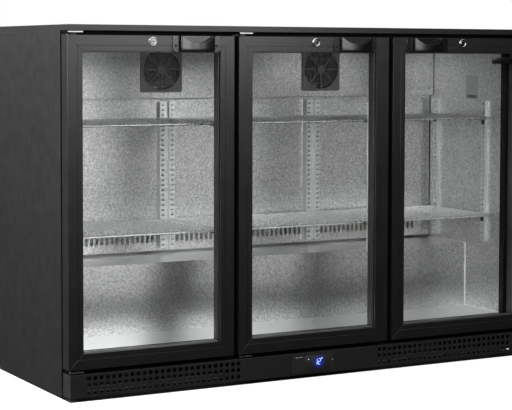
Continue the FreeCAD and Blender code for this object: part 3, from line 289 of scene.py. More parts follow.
def foam(name, colour):
    """Sawn insulating foam: a fine open cell."""
    finish = Finish(name, colour, 0.9)
    finish.tint(finish.noise(18.0, 4.0), 0.12)
    finish.bump(finish.cells(650.0, "F1")["Distance"], 0.3 * MM, 0.8)
    return finish.material


GLASS_IOR = 1.15


def clear_glass(name, colour):
    """Float glass; lamps and the pale room behind an open door are seen straight through it."""
    finish = Finish(name, colour, 0.0)
    finish.set("Transmission Weight", 1.0)
    finish.set("IOR", GLASS_IOR)
    ripple = finish.remap(finish.noise(5.0, 3.0), 0.0, 0.012)
    finish.link(ripple, finish.shader.inputs["Roughness"])
    clear = finish.node("ShaderNodeBsdfTransparent")
    clear.inputs["Color"].default_value = (*colour, 1.0)
    shine = finish.node("ShaderNodeBsdfGlossy")
    shine.inputs["Roughness"].default_value = 0.02
    edge = finish.node("ShaderNodeFresnel")
    edge.inputs["IOR"].default_value = GLASS_IOR
    pane = finish.mix_shaders(edge.outputs["Fac"], clear.outputs["BSDF"], shine.outputs["BSDF"])
    ray = finish.node("ShaderNodeLightPath").outputs
    straight = finish.maths("MAXIMUM", ray["Is Shadow Ray"], ray["Is Camera Ray"])
    surface = finish.mix_shaders(straight, finish.shader.outputs["BSDF"], pane)
    finish.link(surface, finish.tree.nodes["Material Output"].inputs["Surface"])
    return finish.material


def lit_plastic(name, colour, light, strength):
    """Translucent plastic lit from behind, with faint unevenness."""
    finish = Finish(name, colour, 0.35)
    finish.tint(finish.noise(80.0, 2.0), 0.05)
    finish.set("Emission Color", (*light, 1.0))
    finish.set("Emission Strength", strength)
    return finish.material


def glow_window(name, centre, reach, light, strength):
    """A dark display window whose light fades with distance from its centre."""
    finish = Finish(name, (0.02, 0.02, 0.021), 0.45)
    mapping = finish.node("ShaderNodeMapping")
    mapping.inputs["Location"].default_value = tuple(-c / reach for c in centre)
    mapping.inputs["Scale"].default_value = (1 / reach,) * 3
    finish.link(finish.place, mapping.inputs["Vector"])
    ball = finish.node("ShaderNodeTexGradient", gradient_type="QUADRATIC_SPHERE")
    finish.link(mapping.outputs["Vector"], ball.inputs["Vector"])
    fade = finish.blend(ball.outputs["Fac"], (0.0, 0.0, 0.0), light)
    finish.link(fade, finish.shader.inputs["Emission Color"])
    finish.set("Emission Strength", strength)
    finish.sheen_drift(finish.noise(70.0), 0.03)
    return finish.material


# Where the hinges' front edge is, how far behind it their painted shade deepens, and where the
# display's glow is and how far it reaches, in metres.
HINGE_FRONT = -0.2455
HINGE_SHADE_DEPTH = 0.006
GLOW_CENTRE = (0.0106, -0.2493, 0.0395)
GLOW_REACH = 0.024

CASING = powder_coat("casing_powder_coat", (0.012, 0.012, 0.0125), 0.36, 0.7)
DOOR_PAINT = powder_coat("door_powder_coat", (0.010, 0.010, 0.0105), 0.33, 0.9)
# Painted shade: the front frame and mullions sit in a deep gap, so their black is made darker and
# duller than the casing's.
SHADED_FRAME_PAINT = powder_coat("frame_powder_coat_painted_shade", (0.004, 0.004, 0.0042), 0.6, 0.2)
KICK_PAINT = powder_coat("kick_powder_coat", (0.016, 0.016, 0.0165), 0.42, 0.5)
BLACK_PLASTIC = moulded_plastic("black_moulded_plastic", (0.02, 0.02, 0.021), 0.48, 0.05)
FAN_PLASTIC = moulded_plastic("fan_moulded_plastic", (0.14, 0.14, 0.142), 0.4, 0.04)
CLIP_PLASTIC = moulded_plastic("clip_moulded_plastic", (0.03, 0.03, 0.032), 0.4, 0.03)
GLOSS_BLACK = gloss_plastic("handle_gloss_black", (0.006, 0.006, 0.0065))
STUCCO = stucco_metal("stucco_aluminium", (0.97, 0.975, 0.97), 0.3, 0.22)
SHEET = plain_metal("plain_aluminium_sheet", (0.78, 0.785, 0.785), 0.34, (0.08, 1.0, 1.0))
TRACK = plain_metal("track_aluminium", (0.88, 0.885, 0.89), 0.36, (1.0, 1.0, 0.05))
SPACER = plain_metal("spacer_anodised", (0.13, 0.13, 0.132), 0.4)
# A bright metal used only for the painted highlight strips behind the outer panes.
EDGE_HIGHLIGHT_METAL = plain_metal("painted_edge_highlight", (0.80, 0.81, 0.82), 0.3)
GALVANISED = spangled_zinc("galvanised_sheet", (0.62, 0.64, 0.65))
ZINC = plated("zinc_plate", (0.62, 0.61, 0.58), 0.3)
# Hinge zinc with painted shade behind its front edge.
HINGE_ZINC = hinge_plating("hinge_zinc_plate", (0.62, 0.61, 0.58), HINGE_FRONT,
                           HINGE_SHADE_DEPTH)
BLACK_ZINC = plated("black_zinc", (0.05, 0.05, 0.052), 0.35)
CHROME = plated("polished_chrome", (0.48, 0.48, 0.49), 0.14)
WIRE = plated("coated_wire", (0.52, 0.525, 0.53), 0.28, 0.8)
FIN = plain_metal("coil_fins", (0.72, 0.73, 0.74), 0.35)
COPPER = plated("copper_tube", (0.72, 0.38, 0.22), 0.3)
RUBBER = rubber("gasket_rubber", (0.02, 0.02, 0.021))
SILICONE = moulded_plastic("white_sealant", (0.78, 0.78, 0.76), 0.35, 0.02)
FOAM = foam("insulating_foam", (0.72, 0.62, 0.38))
GLASS = clear_glass("clear_float_glass", (0.994, 0.996, 0.995))
PAPER = moulded_plastic("blank_label_film", (0.5, 0.51, 0.52), 0.4, 0.02)
LENS = lit_plastic("light_diffuser", (0.9, 0.92, 0.95), (0.95, 0.98, 1.0), 0.8)
DIGIT = lit_plastic("display_digit", (0.5, 0.7, 1.0), (0.42, 0.66, 1.0), 1.8)
WINDOW = glow_window("display_glow", GLOW_CENTRE, GLOW_REACH, (0.01, 0.03, 0.6), 0.9)
# Pale plastic that glows faintly, for two small marks on the controller's face.
PALE_MARK = lit_plastic("pale_mark_finish", (0.5, 0.5, 0.52), (0.5, 0.5, 0.55), 0.12)


# ---- meshes and pieces --------------------------------------------------
def as_mesh(bm, name, sharp_degrees=35.0):
    """Turns a bmesh into mesh data, smooth except at edges sharper than this."""
    bmesh.ops.recalc_face_normals(bm, faces=bm.faces)
    data = bpy.data.meshes.new(name)
    bm.to_mesh(data)
    bm.free()
    data.shade_smooth()
    data.set_sharp_from_angle(angle=math.radians(sharp_degrees))
    return data


def add_piece(data, material, body, replaces=()):
    """Places a mesh in the scene as a piece of the object, under the mesh's name."""
    piece = bpy.data.objects.new(data.name, data)
    bpy.context.scene.collection.objects.link(piece)
    data.materials.append(material)
    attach(piece, body)
    if replaces:
        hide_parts(*replaces)
    return piece


def add_box(bm, low, high, rounding=0.0, segments=2):
    """Adds a box with rounded edges to a bmesh."""
    made = bmesh.ops.create_cube(bm, size=1.0)
    low, high = Vector(low), Vector(high)
    size = high - low
    centre = (low + high) / 2
    for vertex in made["verts"]:
        vertex.co = centre + Vector(a * b for a, b in zip(vertex.co, size))
    if rounding > 0:
        edges = list({edge for vertex in made["verts"] for edge in vertex.link_edges})
        bmesh.ops.bevel(bm, geom=edges, offset=rounding, segments=segments, profile=0.5,
                        affect="EDGES")


def boxes(name, spans, rounding=0.0, segments=2):
    """One mesh of several rounded boxes, each given by its low and high corners."""
    bm = bmesh.new()
    for low, high in spans:
        add_box(bm, low, high, rounding, segments)
    return as_mesh(bm, name)


def add_grid(bm, rows):
    """Faces between neighbouring rows of vertices."""
    for row, after in zip(rows, rows[1:]):
        for k in range(len(row) - 1):
            bm.faces.new((row[k], row[k + 1], after[k + 1], after[k]))


def add_walls(bm, loops, ring=False):
    """Joins closed loops of points into walls; a ring's last loop meets its first.

    Without ring, the first and last loops are capped with a face.
    """
    rows = [[bm.verts.new(point) for point in loop] for loop in loops]
    if ring:
        rows.append(rows[0])
    add_grid(bm, [row + row[:1] for row in rows])
    if not ring:
        bm.faces.new(rows[0])
        bm.faces.new(reversed(rows[-1]))


class DoorPlace:
    """Where one door is, read from its frame; inset points are measured from its outer edge."""

    def __init__(self, name):
        low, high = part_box(name + "_frame")
        self.name = name
        self.left, self.right = low.x, high.x
        self.bottom, self.top = low.z, high.z
        self.front = low.y

    def corners(self, inset, depth):
        """Four corners, from the lower left round to the upper left."""
        y = self.front + depth
        return [Vector((self.left + inset, y, self.bottom + inset)),
                Vector((self.right - inset, y, self.bottom + inset)),
                Vector((self.right - inset, y, self.top - inset)),
                Vector((self.left + inset, y, self.top - inset))]

    def ring(self, name, profile):
        """A closed ring that sweeps a profile of (inset, depth) points round the door."""
        bm = bmesh.new()
        add_walls(bm, [self.corners(u * MM, v * MM) for u, v in profile], ring=True)
        return as_mesh(bm, name)


DOORS = [DoorPlace(name) for name in DOOR_NAMES]


def paint(material, *names):
    """Gives CAD nodes a finish."""
    for name in names:
        slots = NODES[name].data.materials
        slots.clear()
        slots.append(material)


def bevel_edges(piece, width, segments=2, degrees=40.0):
    """Rounds a piece's edges that are sharper than this."""
    edge = piece.modifiers.new("edges", "BEVEL")
    edge.width = width * MM
    edge.segments = segments
    edge.limit_method = "ANGLE"
    edge.angle_limit = math.radians(degrees)


def soften(width, *names, segments=2):
    """Rounds the sharp edges of CAD nodes a little, as folded and cut parts are."""
    for name in names:
        weld = NODES[name].modifiers.new("join", "WELD")
        weld.merge_threshold = 0.002 * MM
        bevel_edges(NODES[name], width, segments)


# ---- finishes of the CAD nodes ------------------------------------------
def paint_nodes():
    paint(CASING, "worktop", "side_panel_left", "side_panel_right", "compressor")
    # painted shade on the front frame and mullions
    paint(SHADED_FRAME_PAINT, "front_frame", "mullions")
    paint(KICK_PAINT, "kick_plate")
    paint(GALVANISED, "rear_panel", "base_pan", "machine_space_liner", "rear_grille")
    paint(STUCCO, "inner_liner", "hump_cover", "duct_panel", "evaporator_cover")
    paint(SHEET, "floor_liner")
    paint(TRACK, "shelf_tracks")
    paint(CLIP_PLASTIC, "shelf_clips")
    paint(BLACK_PLASTIC, "levelling_feet", "controller", "power_inlet", "drain_tray",
          "condenser_fan")
    paint(FAN_PLASTIC, "evaporator_fan_housings", "evaporator_fan_left", "evaporator_fan_right")
    paint(HINGE_ZINC, "hinge_brackets")
    paint(ZINC, "cabinet_screws")
    paint(FIN, "evaporator_coil", "condenser")
    paint(COPPER, "refrigerant_pipes")
    paint(FOAM, "foam_insulation")
    for door in DOOR_NAMES:
        paint(BLACK_ZINC, door + "_fittings")
        paint(CHROME, door + "_lock_barrel", door + "_lock_plug")
    paint(WIRE, *(name for name in NODES if name.startswith(("shelf_lower", "shelf_upper"))))


# ---- doors --------------------------------------------------------------
# In millimetres; profiles are (inset from the door's outer edge, depth behind its front).
SIGHT_INSET = 38.0
FRAME_PROFILE = [(0.0, 0.0), (24.1, 0.0), (24.1, 0.9), (24.9, 0.9), (24.9, 0.0),
                 (SIGHT_INSET, 0.0), (SIGHT_INSET, 6.0), (28.0, 6.0), (28.0, 26.4),
                 (SIGHT_INSET, 26.4), (SIGHT_INSET, 37.0), (0.0, 37.0)]
MITRE_GAP = 0.05
PANE_INSET = 28.5
PANE_DEPTHS = ((6.2, 10.2), (22.2, 26.2))
SPACER_PROFILE = [(30.4, 10.3), (40.6, 10.3), (41.0, 10.7), (41.0, 15.8), (40.5, 16.2),
                  (41.0, 16.6), (41.0, 21.7), (40.6, 22.1), (30.4, 22.1)]
# Where the painted highlight strips sit, in millimetres: their inset from the door's edge and their
# depth behind its front.
EDGE_SPAN = (38.2, 39.8)
EDGE_DEPTHS = (10.216, 10.28)
GASKET_PROFILE = [(10.3, 37.0), (19.7, 37.0), (19.7, 38.2), (17.4, 38.8), (18.6, 40.5),
                  (17.2, 42.1), (19.6, 43.1), (19.6, 45.6), (19.1, 46.1), (10.9, 46.1),
                  (10.4, 45.6), (10.4, 43.1), (12.8, 42.1), (11.4, 40.5), (12.6, 38.8),
                  (10.3, 38.2)]


def door_bars(door):
    """Four profiles cut to a mitre, with a hair of gap at each corner and a groove in the face."""
    bm = bmesh.new()
    for i in range(4):
        j = (i + 1) % 4
        starts, ends = [], []
        for inset, depth in FRAME_PROFILE:
            corners = door.corners(inset * MM, depth * MM)
            along = (corners[j] - corners[i]).normalized() * MITRE_GAP * MM
            starts.append(corners[i] + along)
            ends.append(corners[j] - along)
        add_walls(bm, [starts, ends])
    bars = add_piece(as_mesh(bm, door.name + "_bars"), DOOR_PAINT, door.name,
                     [door.name + "_frame"])
    bevel_edges(bars, 0.3)


def edge_highlight_strips(door):
    """Bright metal strips in the hair of space behind the outer pane, on the right and bottom only:
    a painted highlight.
    """
    outer, inner = (inset * MM for inset in EDGE_SPAN)
    near, far = (door.front + depth * MM for depth in EDGE_DEPTHS)
    upright = ((door.right - inner, near, door.bottom + inner),
               (door.right - outer, far, door.top - inner))
    level = ((door.left + outer, near, door.bottom + outer),
             (door.right - inner, far, door.bottom + inner))
    return boxes(door.name + "_spacer_edge", [upright, level])


def door_glazing(door):
    """Two panes with ground edges, the spacer that holds them apart and the painted highlight
    strips.
    """
    made = []
    for name, (near, far) in zip(("outer_pane", "inner_pane"), PANE_DEPTHS):
        corners = door.corners(PANE_INSET * MM, near * MM)
        span = (corners[0], corners[2] + Vector((0, (far - near) * MM, 0)))
        made.append((boxes("%s_%s" % (door.name, name), [span], 0.4 * MM, 1), GLASS))
    made.append((door.ring(door.name + "_spacer", SPACER_PROFILE), SPACER))
    # painted highlight: bright strips on the right and bottom
    made.append((edge_highlight_strips(door), EDGE_HIGHLIGHT_METAL))
    for data, material in made:
        add_piece(data, material, door.name, [door.name + "_glass"])


def door_seal(door):
    """The magnetic gasket, with a bellows section."""
    seal = door.ring(door.name + "_bellows_gasket", GASKET_PROFILE)
    add_piece(seal, RUBBER, door.name, [door.name + "_gasket"])


# The cup pull, in millimetres: its plate's thickness and corners, the screw tab beyond the cup,
# the cup's wall, how far its ends stand out, how deep its lip dips and its lower edge's rounding.
PULL_PLATE = 3.0
PULL_CORNER = 9.0
PULL_TAB = 19.0
PULL_WALL = 2.5
PULL_END = 13.0
PULL_DIP = 18.1
PULL_FILLET = 4.0


def arc(cx, cz, radius, start, end, steps):
    """Points (x, z) on an arc given in degrees."""
    points = []
    for k in range(steps + 1):
        angle = math.radians(start + (end - start) * k / steps)
        points.append((cx + radius * math.cos(angle), cz + radius * math.sin(angle)))
    return points


def cup_path(half, end, middle, back, corner=3.0, steps=24):
    """The cup seen from above: a side wall, the bowed front and the other side wall, as (x, y)."""
    def bow(x):
        return middle - (middle - end) * (x / half) ** 2

    front_x = half - corner
    start = bow(front_x) - corner
    right = [(half, back), (half, start)]
    for k in range(1, 6):
        angle = math.radians(90 * k / 6)
        right.append((front_x + corner * math.cos(angle), start + corner * math.sin(angle)))
    across = [front_x * (1 - 2 * k / steps) for k in range(steps + 1)]
    return right + [(x, bow(x)) for x in across] + [(-x, y) for x, y in reversed(right)]


def door_pull(door):
    """A glossy cup pull on a plate with two screw tabs; the cup's lip dips in the middle."""
    low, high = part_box(door.name + "_handle")
    centre = (low.x + high.x) / 2
    bottom, top = low.z / MM, high.z / MM
    half_plate = (high.x - low.x) / 2 / MM
    half = half_plate - PULL_TAB
    proud = (door.front - low.y) / MM

    def place(x, y, z):
        return Vector((centre + x * MM, door.front - y * MM, z * MM))

    bm = bmesh.new()
    r = PULL_CORNER
    outline = (arc(half_plate - r, bottom + r, r, 0, -90, 8)
               + arc(-half_plate + r, bottom + r, r, -90, -180, 8)
               + arc(-half_plate + 1, top - 1, 1, 180, 90, 3)
               + arc(half_plate - 1, top - 1, 1, 90, 0, 3))
    add_walls(bm, [[place(x, y, z) for x, z in outline] for y in (0.0, PULL_PLATE)])

    chord = half - PULL_WALL
    radius = (chord ** 2 + PULL_DIP ** 2) / (2 * PULL_DIP)

    def lip(x):
        if abs(x) >= chord:
            return top
        return top - PULL_DIP + radius - math.sqrt(radius ** 2 - x ** 2)

    outer = cup_path(half, PULL_END, proud, 1.0)
    inner = cup_path(half - PULL_WALL, PULL_END - PULL_WALL, proud - PULL_WALL,
                     PULL_PLATE + 0.2, 2.0)
    loops = []
    for k in range(5):
        angle = math.radians(90 * k / 4)
        shrink = 1 - PULL_FILLET * (1 - math.sin(angle)) / proud
        narrow = 1 - (1 - shrink) * proud / half
        z = bottom + PULL_FILLET * (1 - math.cos(angle))
        loops.append([place(x * narrow, y * shrink, z) for x, y in outer])
    for path, base, shares in ((outer, bottom + PULL_FILLET, (0.25, 0.5, 0.75, 1.0)),
                               (inner, bottom + PULL_WALL, (1.0, 0.66, 0.33, 0.0))):
        for share in shares:
            loops.append([place(x, y, base + (lip(x) - base) * share) for x, y in path])
    add_walls(bm, loops)
    pull = add_piece(as_mesh(bm, door.name + "_cup_pull"), GLOSS_BLACK, door.name,
                     [door.name + "_handle"])
    bevel_edges(pull, 0.8, 3, 50.0)


def lathe_y(name, x, front, z, profile, steps=48):
    """A turned ring about an axis along Y; the profile is (radius, depth) points, closed."""
    bm = bmesh.new()
    loops = []
    for k in range(steps):
        angle = 2 * math.pi * k / steps
        loops.append([(x + r * MM * math.cos(angle), front + v * MM, z + r * MM * math.sin(angle))
                      for r, v in profile])
    add_walls(bm, loops, ring=True)
    return as_mesh(bm, name, 30.0)


LOCK_PROFILE = [(6.05, 20.0), (9.0, 20.0), (9.0, 0.0), (11.5, 0.0), (11.5, -0.7), (11.2, -1.3),
                (10.5, -1.8), (9.5, -2.0), (8.4, -1.8), (7.6, -1.2), (7.1, -0.9), (6.4, -0.9),
                (6.05, -0.6)]


def door_lock(door):
    """The lock's barrel with its rounded bezel."""
    low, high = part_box(door.name + "_lock_barrel")
    centre = (low + high) / 2
    ring = lathe_y(door.name + "_lock_ring", centre.x, door.front, centre.z, LOCK_PROFILE)
    add_piece(ring, CHROME, door.name, [door.name + "_lock_barrel"])


BADGE_FROM_SIGHT_EDGE = (80.0, 2.0)
BADGE_FROM_TOP = (68.0, 51.0)
BADGE_FROM_GLASS = (0.5, 0.05)


def glass_badge(door):
    """A blank black plate in the upper corner of the right-hand door's glass."""
    edge = door.right - SIGHT_INSET * MM
    y = door.front + PANE_DEPTHS[0][0] * MM
    low, high = ((edge - x * MM, y - gap * MM, door.top - z * MM)
                 for x, gap, z in zip(BADGE_FROM_SIGHT_EDGE, BADGE_FROM_GLASS, BADGE_FROM_TOP))
    plate = boxes("blank_glass_plate", [(low, high)], 0.15 * MM)
    add_piece(plate, GLOSS_BLACK, door.name)


def build_doors():
    for door in DOORS:
        door_bars(door)
        door_glazing(door)
        door_seal(door)
        door_pull(door)
        door_lock(door)
        soften(0.25, door.name + "_lock_plug", door.name + "_fittings")
    glass_badge(DOORS[2])


# ---- inside of the cabinet ----------------------------------------------
def tube_piece(name, points, radius, material, body):
    """A round bead along a bent line, as a mesh."""
    curve = bpy.data.curves.new(name, "CURVE")
    curve.dimensions = "3D"
    curve.bevel_depth = radius
    curve.bevel_resolution = 3
    curve.use_fill_caps = True
    spline = curve.splines.new("POLY")
    spline.points.add(len(points) - 1)
    for target, point in zip(spline.points, points):
        target.co = (*point, 1.0)
    holder = bpy.data.objects.new(name + "_line", curve)
    bpy.context.scene.collection.objects.link(holder)
    depsgraph = bpy.context.evaluated_depsgraph_get()
    data = bpy.data.meshes.new_from_object(holder.evaluated_get(depsgraph))
    bpy.data.objects.remove(holder)
    data.name = name
    data.materials.clear()
    data.shade_smooth()
    add_piece(data, material, body)


BEAD_RADIUS = 2.0
BEAD_INTO_CORNER = 0.6
HUMP_BEAD_DEPTH = 62.0


def sealant_beads():
    """White sealant where the hump and the floor meet each side wall."""
    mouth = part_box("floor_liner")[0].y
    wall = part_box("floor_liner")[1].x
    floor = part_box("floor_liner")[1].z
    hump_low, hump_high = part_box("hump_cover")
    r = BEAD_RADIUS * MM
    for side, name in ((-1, "left"), (1, "right")):
        x = side * (wall - BEAD_INTO_CORNER * MM)
        points = [(x, hump_high.y - HUMP_BEAD_DEPTH * MM, hump_high.z + r / 2),
                  (x, hump_low.y - r / 2, hump_high.z + r / 2),
                  (x, hump_low.y - r / 2, floor + r / 2),
                  (x, mouth + r, floor + r / 2)]
        tube_piece("sealant_bead_" + name, points, r, SILICONE, "cabinet")


# In millimetres, from the middle of the casing and from the floor.
LABEL_Y, LABEL_Z = (-72.5, -13.5), (701.0, 768.0)
PATCH_Y, PATCH_Z = (-67.0, -22.0), (704.0, 713.0)
LABEL_THICK = 0.25
PATCH_THICK = 0.07


def rating_label():
    """A blank film label on the right-hand wall, with a dark patch on it."""
    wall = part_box("floor_liner")[1].x
    face = wall - LABEL_THICK * MM
    film = boxes("blank_wall_label", [((face, LABEL_Y[0] * MM, LABEL_Z[0] * MM),
                                       (wall, LABEL_Y[1] * MM, LABEL_Z[1] * MM))], 0.1 * MM, 1)
    add_piece(film, PAPER, "cabinet")
    front = face - PATCH_THICK * MM
    patch = boxes("blank_label_patch", [((front, PATCH_Y[0] * MM, PATCH_Z[0] * MM),
                                         (face, PATCH_Y[1] * MM, PATCH_Z[1] * MM))])
    add_piece(patch, FAN_PLASTIC, "cabinet")


CHANNEL_SIDE = 1.5 * MM
CHANNEL_TOP = 1.2 * MM
LENS_DROP = 3 * MM
LENS_SIDE_GAP = 0.2 * MM
LENS_END_GAP = 2 * MM


def light_strip():
    """An aluminium channel under the ceiling with a domed diffuser."""
    low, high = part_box("led_strip")
    lens_top = low.z + LENS_DROP
    channel = boxes("light_channel",
                    [((low.x, low.y, lens_top), (high.x, low.y + CHANNEL_SIDE, high.z)),
                     ((low.x, high.y - CHANNEL_SIDE, lens_top), (high.x, high.y, high.z)),
                     ((low.x, low.y, high.z - CHANNEL_TOP), (high.x, high.y, high.z))],
                    0.2 * MM, 1)
    add_piece(channel, TRACK, "cabinet", ["led_strip"])
    bm = bmesh.new()
    middle = (low.y + high.y) / 2
    half = (high.y - low.y) / 2 - CHANNEL_SIDE - LENS_SIDE_GAP
    section = [(middle + half * math.cos(angle), lens_top - LENS_DROP * math.sin(angle))
               for angle in (math.radians(a) for a in range(0, 181, 15))]
    ends = (low.x + LENS_END_GAP, high.x - LENS_END_GAP)
    add_walls(bm, [[Vector((x, y, z)) for y, z in section] for x in ends])
    add_piece(as_mesh(bm, "light_diffuser"), LENS, "cabinet", ["led_strip"])


# ---- controller ---------------------------------------------------------
# Each stroke: its middle as shares of the digit's width and height, and whether it is upright.
# Places are (x from the middle of the casing, z from the floor) in millimetres.
SEGMENTS = {"a": (0.5, 1.0, 0), "b": (1.0, 0.75, 1), "c": (1.0, 0.25, 1), "d": (0.5, 0.0, 0),
            "e": (0.0, 0.25, 1), "f": (0.0, 0.75, 1), "g": (0.5, 0.5, 0)}
DIGITS = {"1": "bc", "2": "abged"}
DIGIT_PLACES = (("1", -1.5), ("2", 8.2))
DIGIT_BOTTOM = 32.5
DIGIT_WIDE = 6.6
DIGIT_TALL = 14.0
DIGIT_SLANT = 0.16
STROKE = 1.05
DEGREE_MARK = (20.6, 47.2)
DEGREE_RADII = (1.7, 0.8)
LAMP_MARK = (-18.9, 47.4)
LAMP_RADIUS = 0.9
ROUND_STEPS = 12
WINDOW_SPAN = (-30, 17, 48, 56)
WINDOW_THICK = 0.3
DIGIT_FRONT = 0.5
# Two small pale marks on the controller's face, each from its low x and z to its high x and z.
MARK_SPANS = ((-57, 53.6, -37, 54.4), (51.5, 40.4, 53.5, 42.6))
MARK_THICK = 0.2


def add_prism(bm, outline, y_front, y_back):
    """A flat shape, given as (x, z) in millimetres, with a thickness along Y."""
    add_walls(bm, [[Vector((x * MM, y, z * MM)) for x, z in outline] for y in (y_front, y_back)])


def digit_strokes(digit, left, bottom):
    """Outlines of the lit strokes of one slanted seven-stroke digit."""
    outlines = []
    for letter in DIGITS[digit]:
        across, up, upright = SEGMENTS[letter]
        cx, cz = left + across * DIGIT_WIDE, bottom + up * DIGIT_TALL
        half = (DIGIT_TALL / 2 if upright else DIGIT_WIDE) / 2 - 0.3
        tip, thick = half - STROKE / 2, STROKE / 2
        shape = [(-half, 0), (-tip, thick), (tip, thick), (half, 0), (tip, -thick), (-tip, -thick)]
        points = [(cx + v, cz + u) if upright else (cx + u, cz + v) for u, v in shape]
        outlines.append([(x + (z - bottom) * DIGIT_SLANT, z) for x, z in points])
    return outlines


def controller_display():
    """The dark window of the controller with its lit digits and small marks."""
    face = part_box("controller")[0].y
    front, back = face - DIGIT_FRONT * MM, face - WINDOW_THICK * MM

    def plate(low_x, low_z, high_x, high_z, thick):
        """The corners of a plate that stands this far in front of the controller's face."""
        return ((low_x * MM, face - thick * MM, low_z * MM), (high_x * MM, face, high_z * MM))

    window = boxes("display_window", [plate(*WINDOW_SPAN, WINDOW_THICK)], 0.25 * MM)
    add_piece(window, WINDOW, "cabinet")
    bm = bmesh.new()
    for digit, left in DIGIT_PLACES:
        for outline in digit_strokes(digit, left, DIGIT_BOTTOM):
            add_prism(bm, outline, front, back)
    outer, inner = (arc(*DEGREE_MARK, r, 0, 360, ROUND_STEPS)[:-1] for r in DEGREE_RADII)
    walls = [[Vector((x * MM, y, z * MM)) for x, z in circle]
             for circle, y in ((outer, front), (outer, back), (inner, back), (inner, front))]
    add_walls(bm, walls, ring=True)
    add_piece(as_mesh(bm, "display_digits"), DIGIT, "cabinet")
    bm = bmesh.new()
    add_prism(bm, arc(*LAMP_MARK, LAMP_RADIUS, 0, 360, ROUND_STEPS)[:-1], front, back)
    add_piece(as_mesh(bm, "display_lamp"), DIGIT, "cabinet")
    marks = boxes("pale_marks", [plate(*span, MARK_THICK) for span in MARK_SPANS])
    add_piece(marks, PALE_MARK, "cabinet")


# ---- back of the casing -------------------------------------------------
# In millimetres: where the hoods are, half their length, how far they stand out and their height.
HOOD_X = [-560.0 + 120.0 * i for i in range(10)]
HOOD_Z = [50.0 + 16.0 * i for i in range(11)]
HOOD_HALF = 46.0
HOOD_REACH = 4.5
HOOD_TALL = 9.0
HOOD_METAL = 0.8
HOOD_STATIONS = 9
HOOD_BENDS = [math.radians(a) for a in (0, 25, 50, 75, 90)]


def hood_skin(x, top, back, thick):
    """Rows of points over one hood, this much metal in from its outside."""
    rows = []
    for i in range(HOOD_STATIONS):
        share = 2 * i / (HOOD_STATIONS - 1) - 1
        reach = (HOOD_REACH - thick) * math.sqrt(max(0.0, 1 - share ** 6))
        across = x + share * (HOOD_HALF - thick)
        tall = HOOD_TALL - thick
        rows.append([Vector((across * MM, back + reach * math.sin(bend) * MM,
                             (top - thick - tall * (1 - math.cos(bend))) * MM))
                     for bend in HOOD_BENDS])
    return rows


def rear_louvres():
    """Pressed hoods over the slots of the rear grille, open at their lower edge."""
    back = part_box("rear_grille")[1].y
    bm = bmesh.new()
    for x in HOOD_X:
        for z in HOOD_Z:
            top = z + HOOD_TALL / 2
            outer, inner = ([[bm.verts.new(point) for point in row]
                             for row in hood_skin(x, top, back, thick)]
                            for thick in (0.0, HOOD_METAL))
            add_grid(bm, outer)
            add_grid(bm, inner)
            for edge in (0, -1):
                add_grid(bm, [[row[edge] for row in skin] for skin in (outer, inner)])
                add_grid(bm, [outer[edge], inner[edge]])
    add_piece(as_mesh(bm, "rear_louvres", 50.0), GALVANISED, "cabinet")


def build_cabinet():
    soften(0.6, "worktop", "side_panel_left", "side_panel_right", segments=3)
    soften(0.35, "kick_plate", "front_frame", "mullions", "controller", "hinge_brackets",
           "shelf_clips", "levelling_feet", "power_inlet", "rear_panel", "base_pan", "drain_tray")
    soften(0.3, "evaporator_fan_housings", "evaporator_cover", "duct_panel", segments=1)
    sealant_beads()
    rating_label()
    light_strip()
    controller_display()
    rear_louvres()


# ---- stage, lights and camera -------------------------------------------
# Each lamp: its name, its place, the point it faces, its width and height, and its watts.
LAMPS = (
    ("bay_fill_left", (-0.42, -0.165, 0.42), (-0.42, 0.1, 0.36), 0.34, 0.5, 0.25),
    ("bay_fill_middle", (0.04, -0.165, 0.42), (0.04, 0.1, 0.36), 0.34, 0.5, 0.17),
    ("bay_fill_right", (0.45, -0.165, 0.42), (0.45, 0.1, 0.36), 0.34, 0.5, 0.125),
    ("cover_fill", (0.40, -0.165, 0.77), (0.34, 0.1, 0.77), 0.3, 0.1, 0.05),
    ("left_box", (-3.2, 0.2, 1.5), (-0.6, 0.0, 0.5), 1.5, 1.5, 165.0),
    ("top_left_box", (-2.2, -2.0, 2.4), (-0.3, -0.2, 0.6), 1.2, 1.2, 39.0),
    ("near_box", (0.3, -1.5, 1.2), (0.3, 0.0, 1.2), 0.8, 0.6, 4.4),
    ("front_panel_low_left", (-0.4, -3.0, 0.9), (-0.4, 0.0, 0.9), 0.9, 0.6, 4.9),
    ("front_panel_low", (0.5, -3.0, 0.9), (0.5, 0.0, 0.9), 0.9, 0.6, 1.2),
    ("front_panel_high", (0.5, -3.0, 1.5), (0.5, 0.0, 1.5), 0.9, 0.6, 5.8),
    ("front_panel_high_right", (1.4, -3.0, 1.5), (1.4, 0.0, 1.5), 0.9, 0.6, 1.8),
)
FLOOR_REACH = 40.0
SHADE_PAST_KICK = 8 * MM
CAMERA_PLACE = (-2.143, -3.8668, 0.8264)
CAMERA_TURN, CAMERA_TILT, CAMERA_ROLL = -29.408, 90 - 3.358, 0.179


def studio_lights():
    """Soft lamps around the object, and four weak ones inside it for its back wall."""
    for name, place, target, width, height, power in LAMPS:
        lamp = bpy.data.lights.new(name, "AREA")
        lamp.shape = "RECTANGLE"
        lamp.size = width
        lamp.size_y = height
        lamp.energy = power
        holder = bpy.data.objects.new(name, lamp)
        bpy.context.scene.collection.objects.link(holder)
        holder.location = place
        facing = Vector(target) - holder.location
        holder.rotation_euler = facing.to_track_quat("-Z", "Y").to_euler()


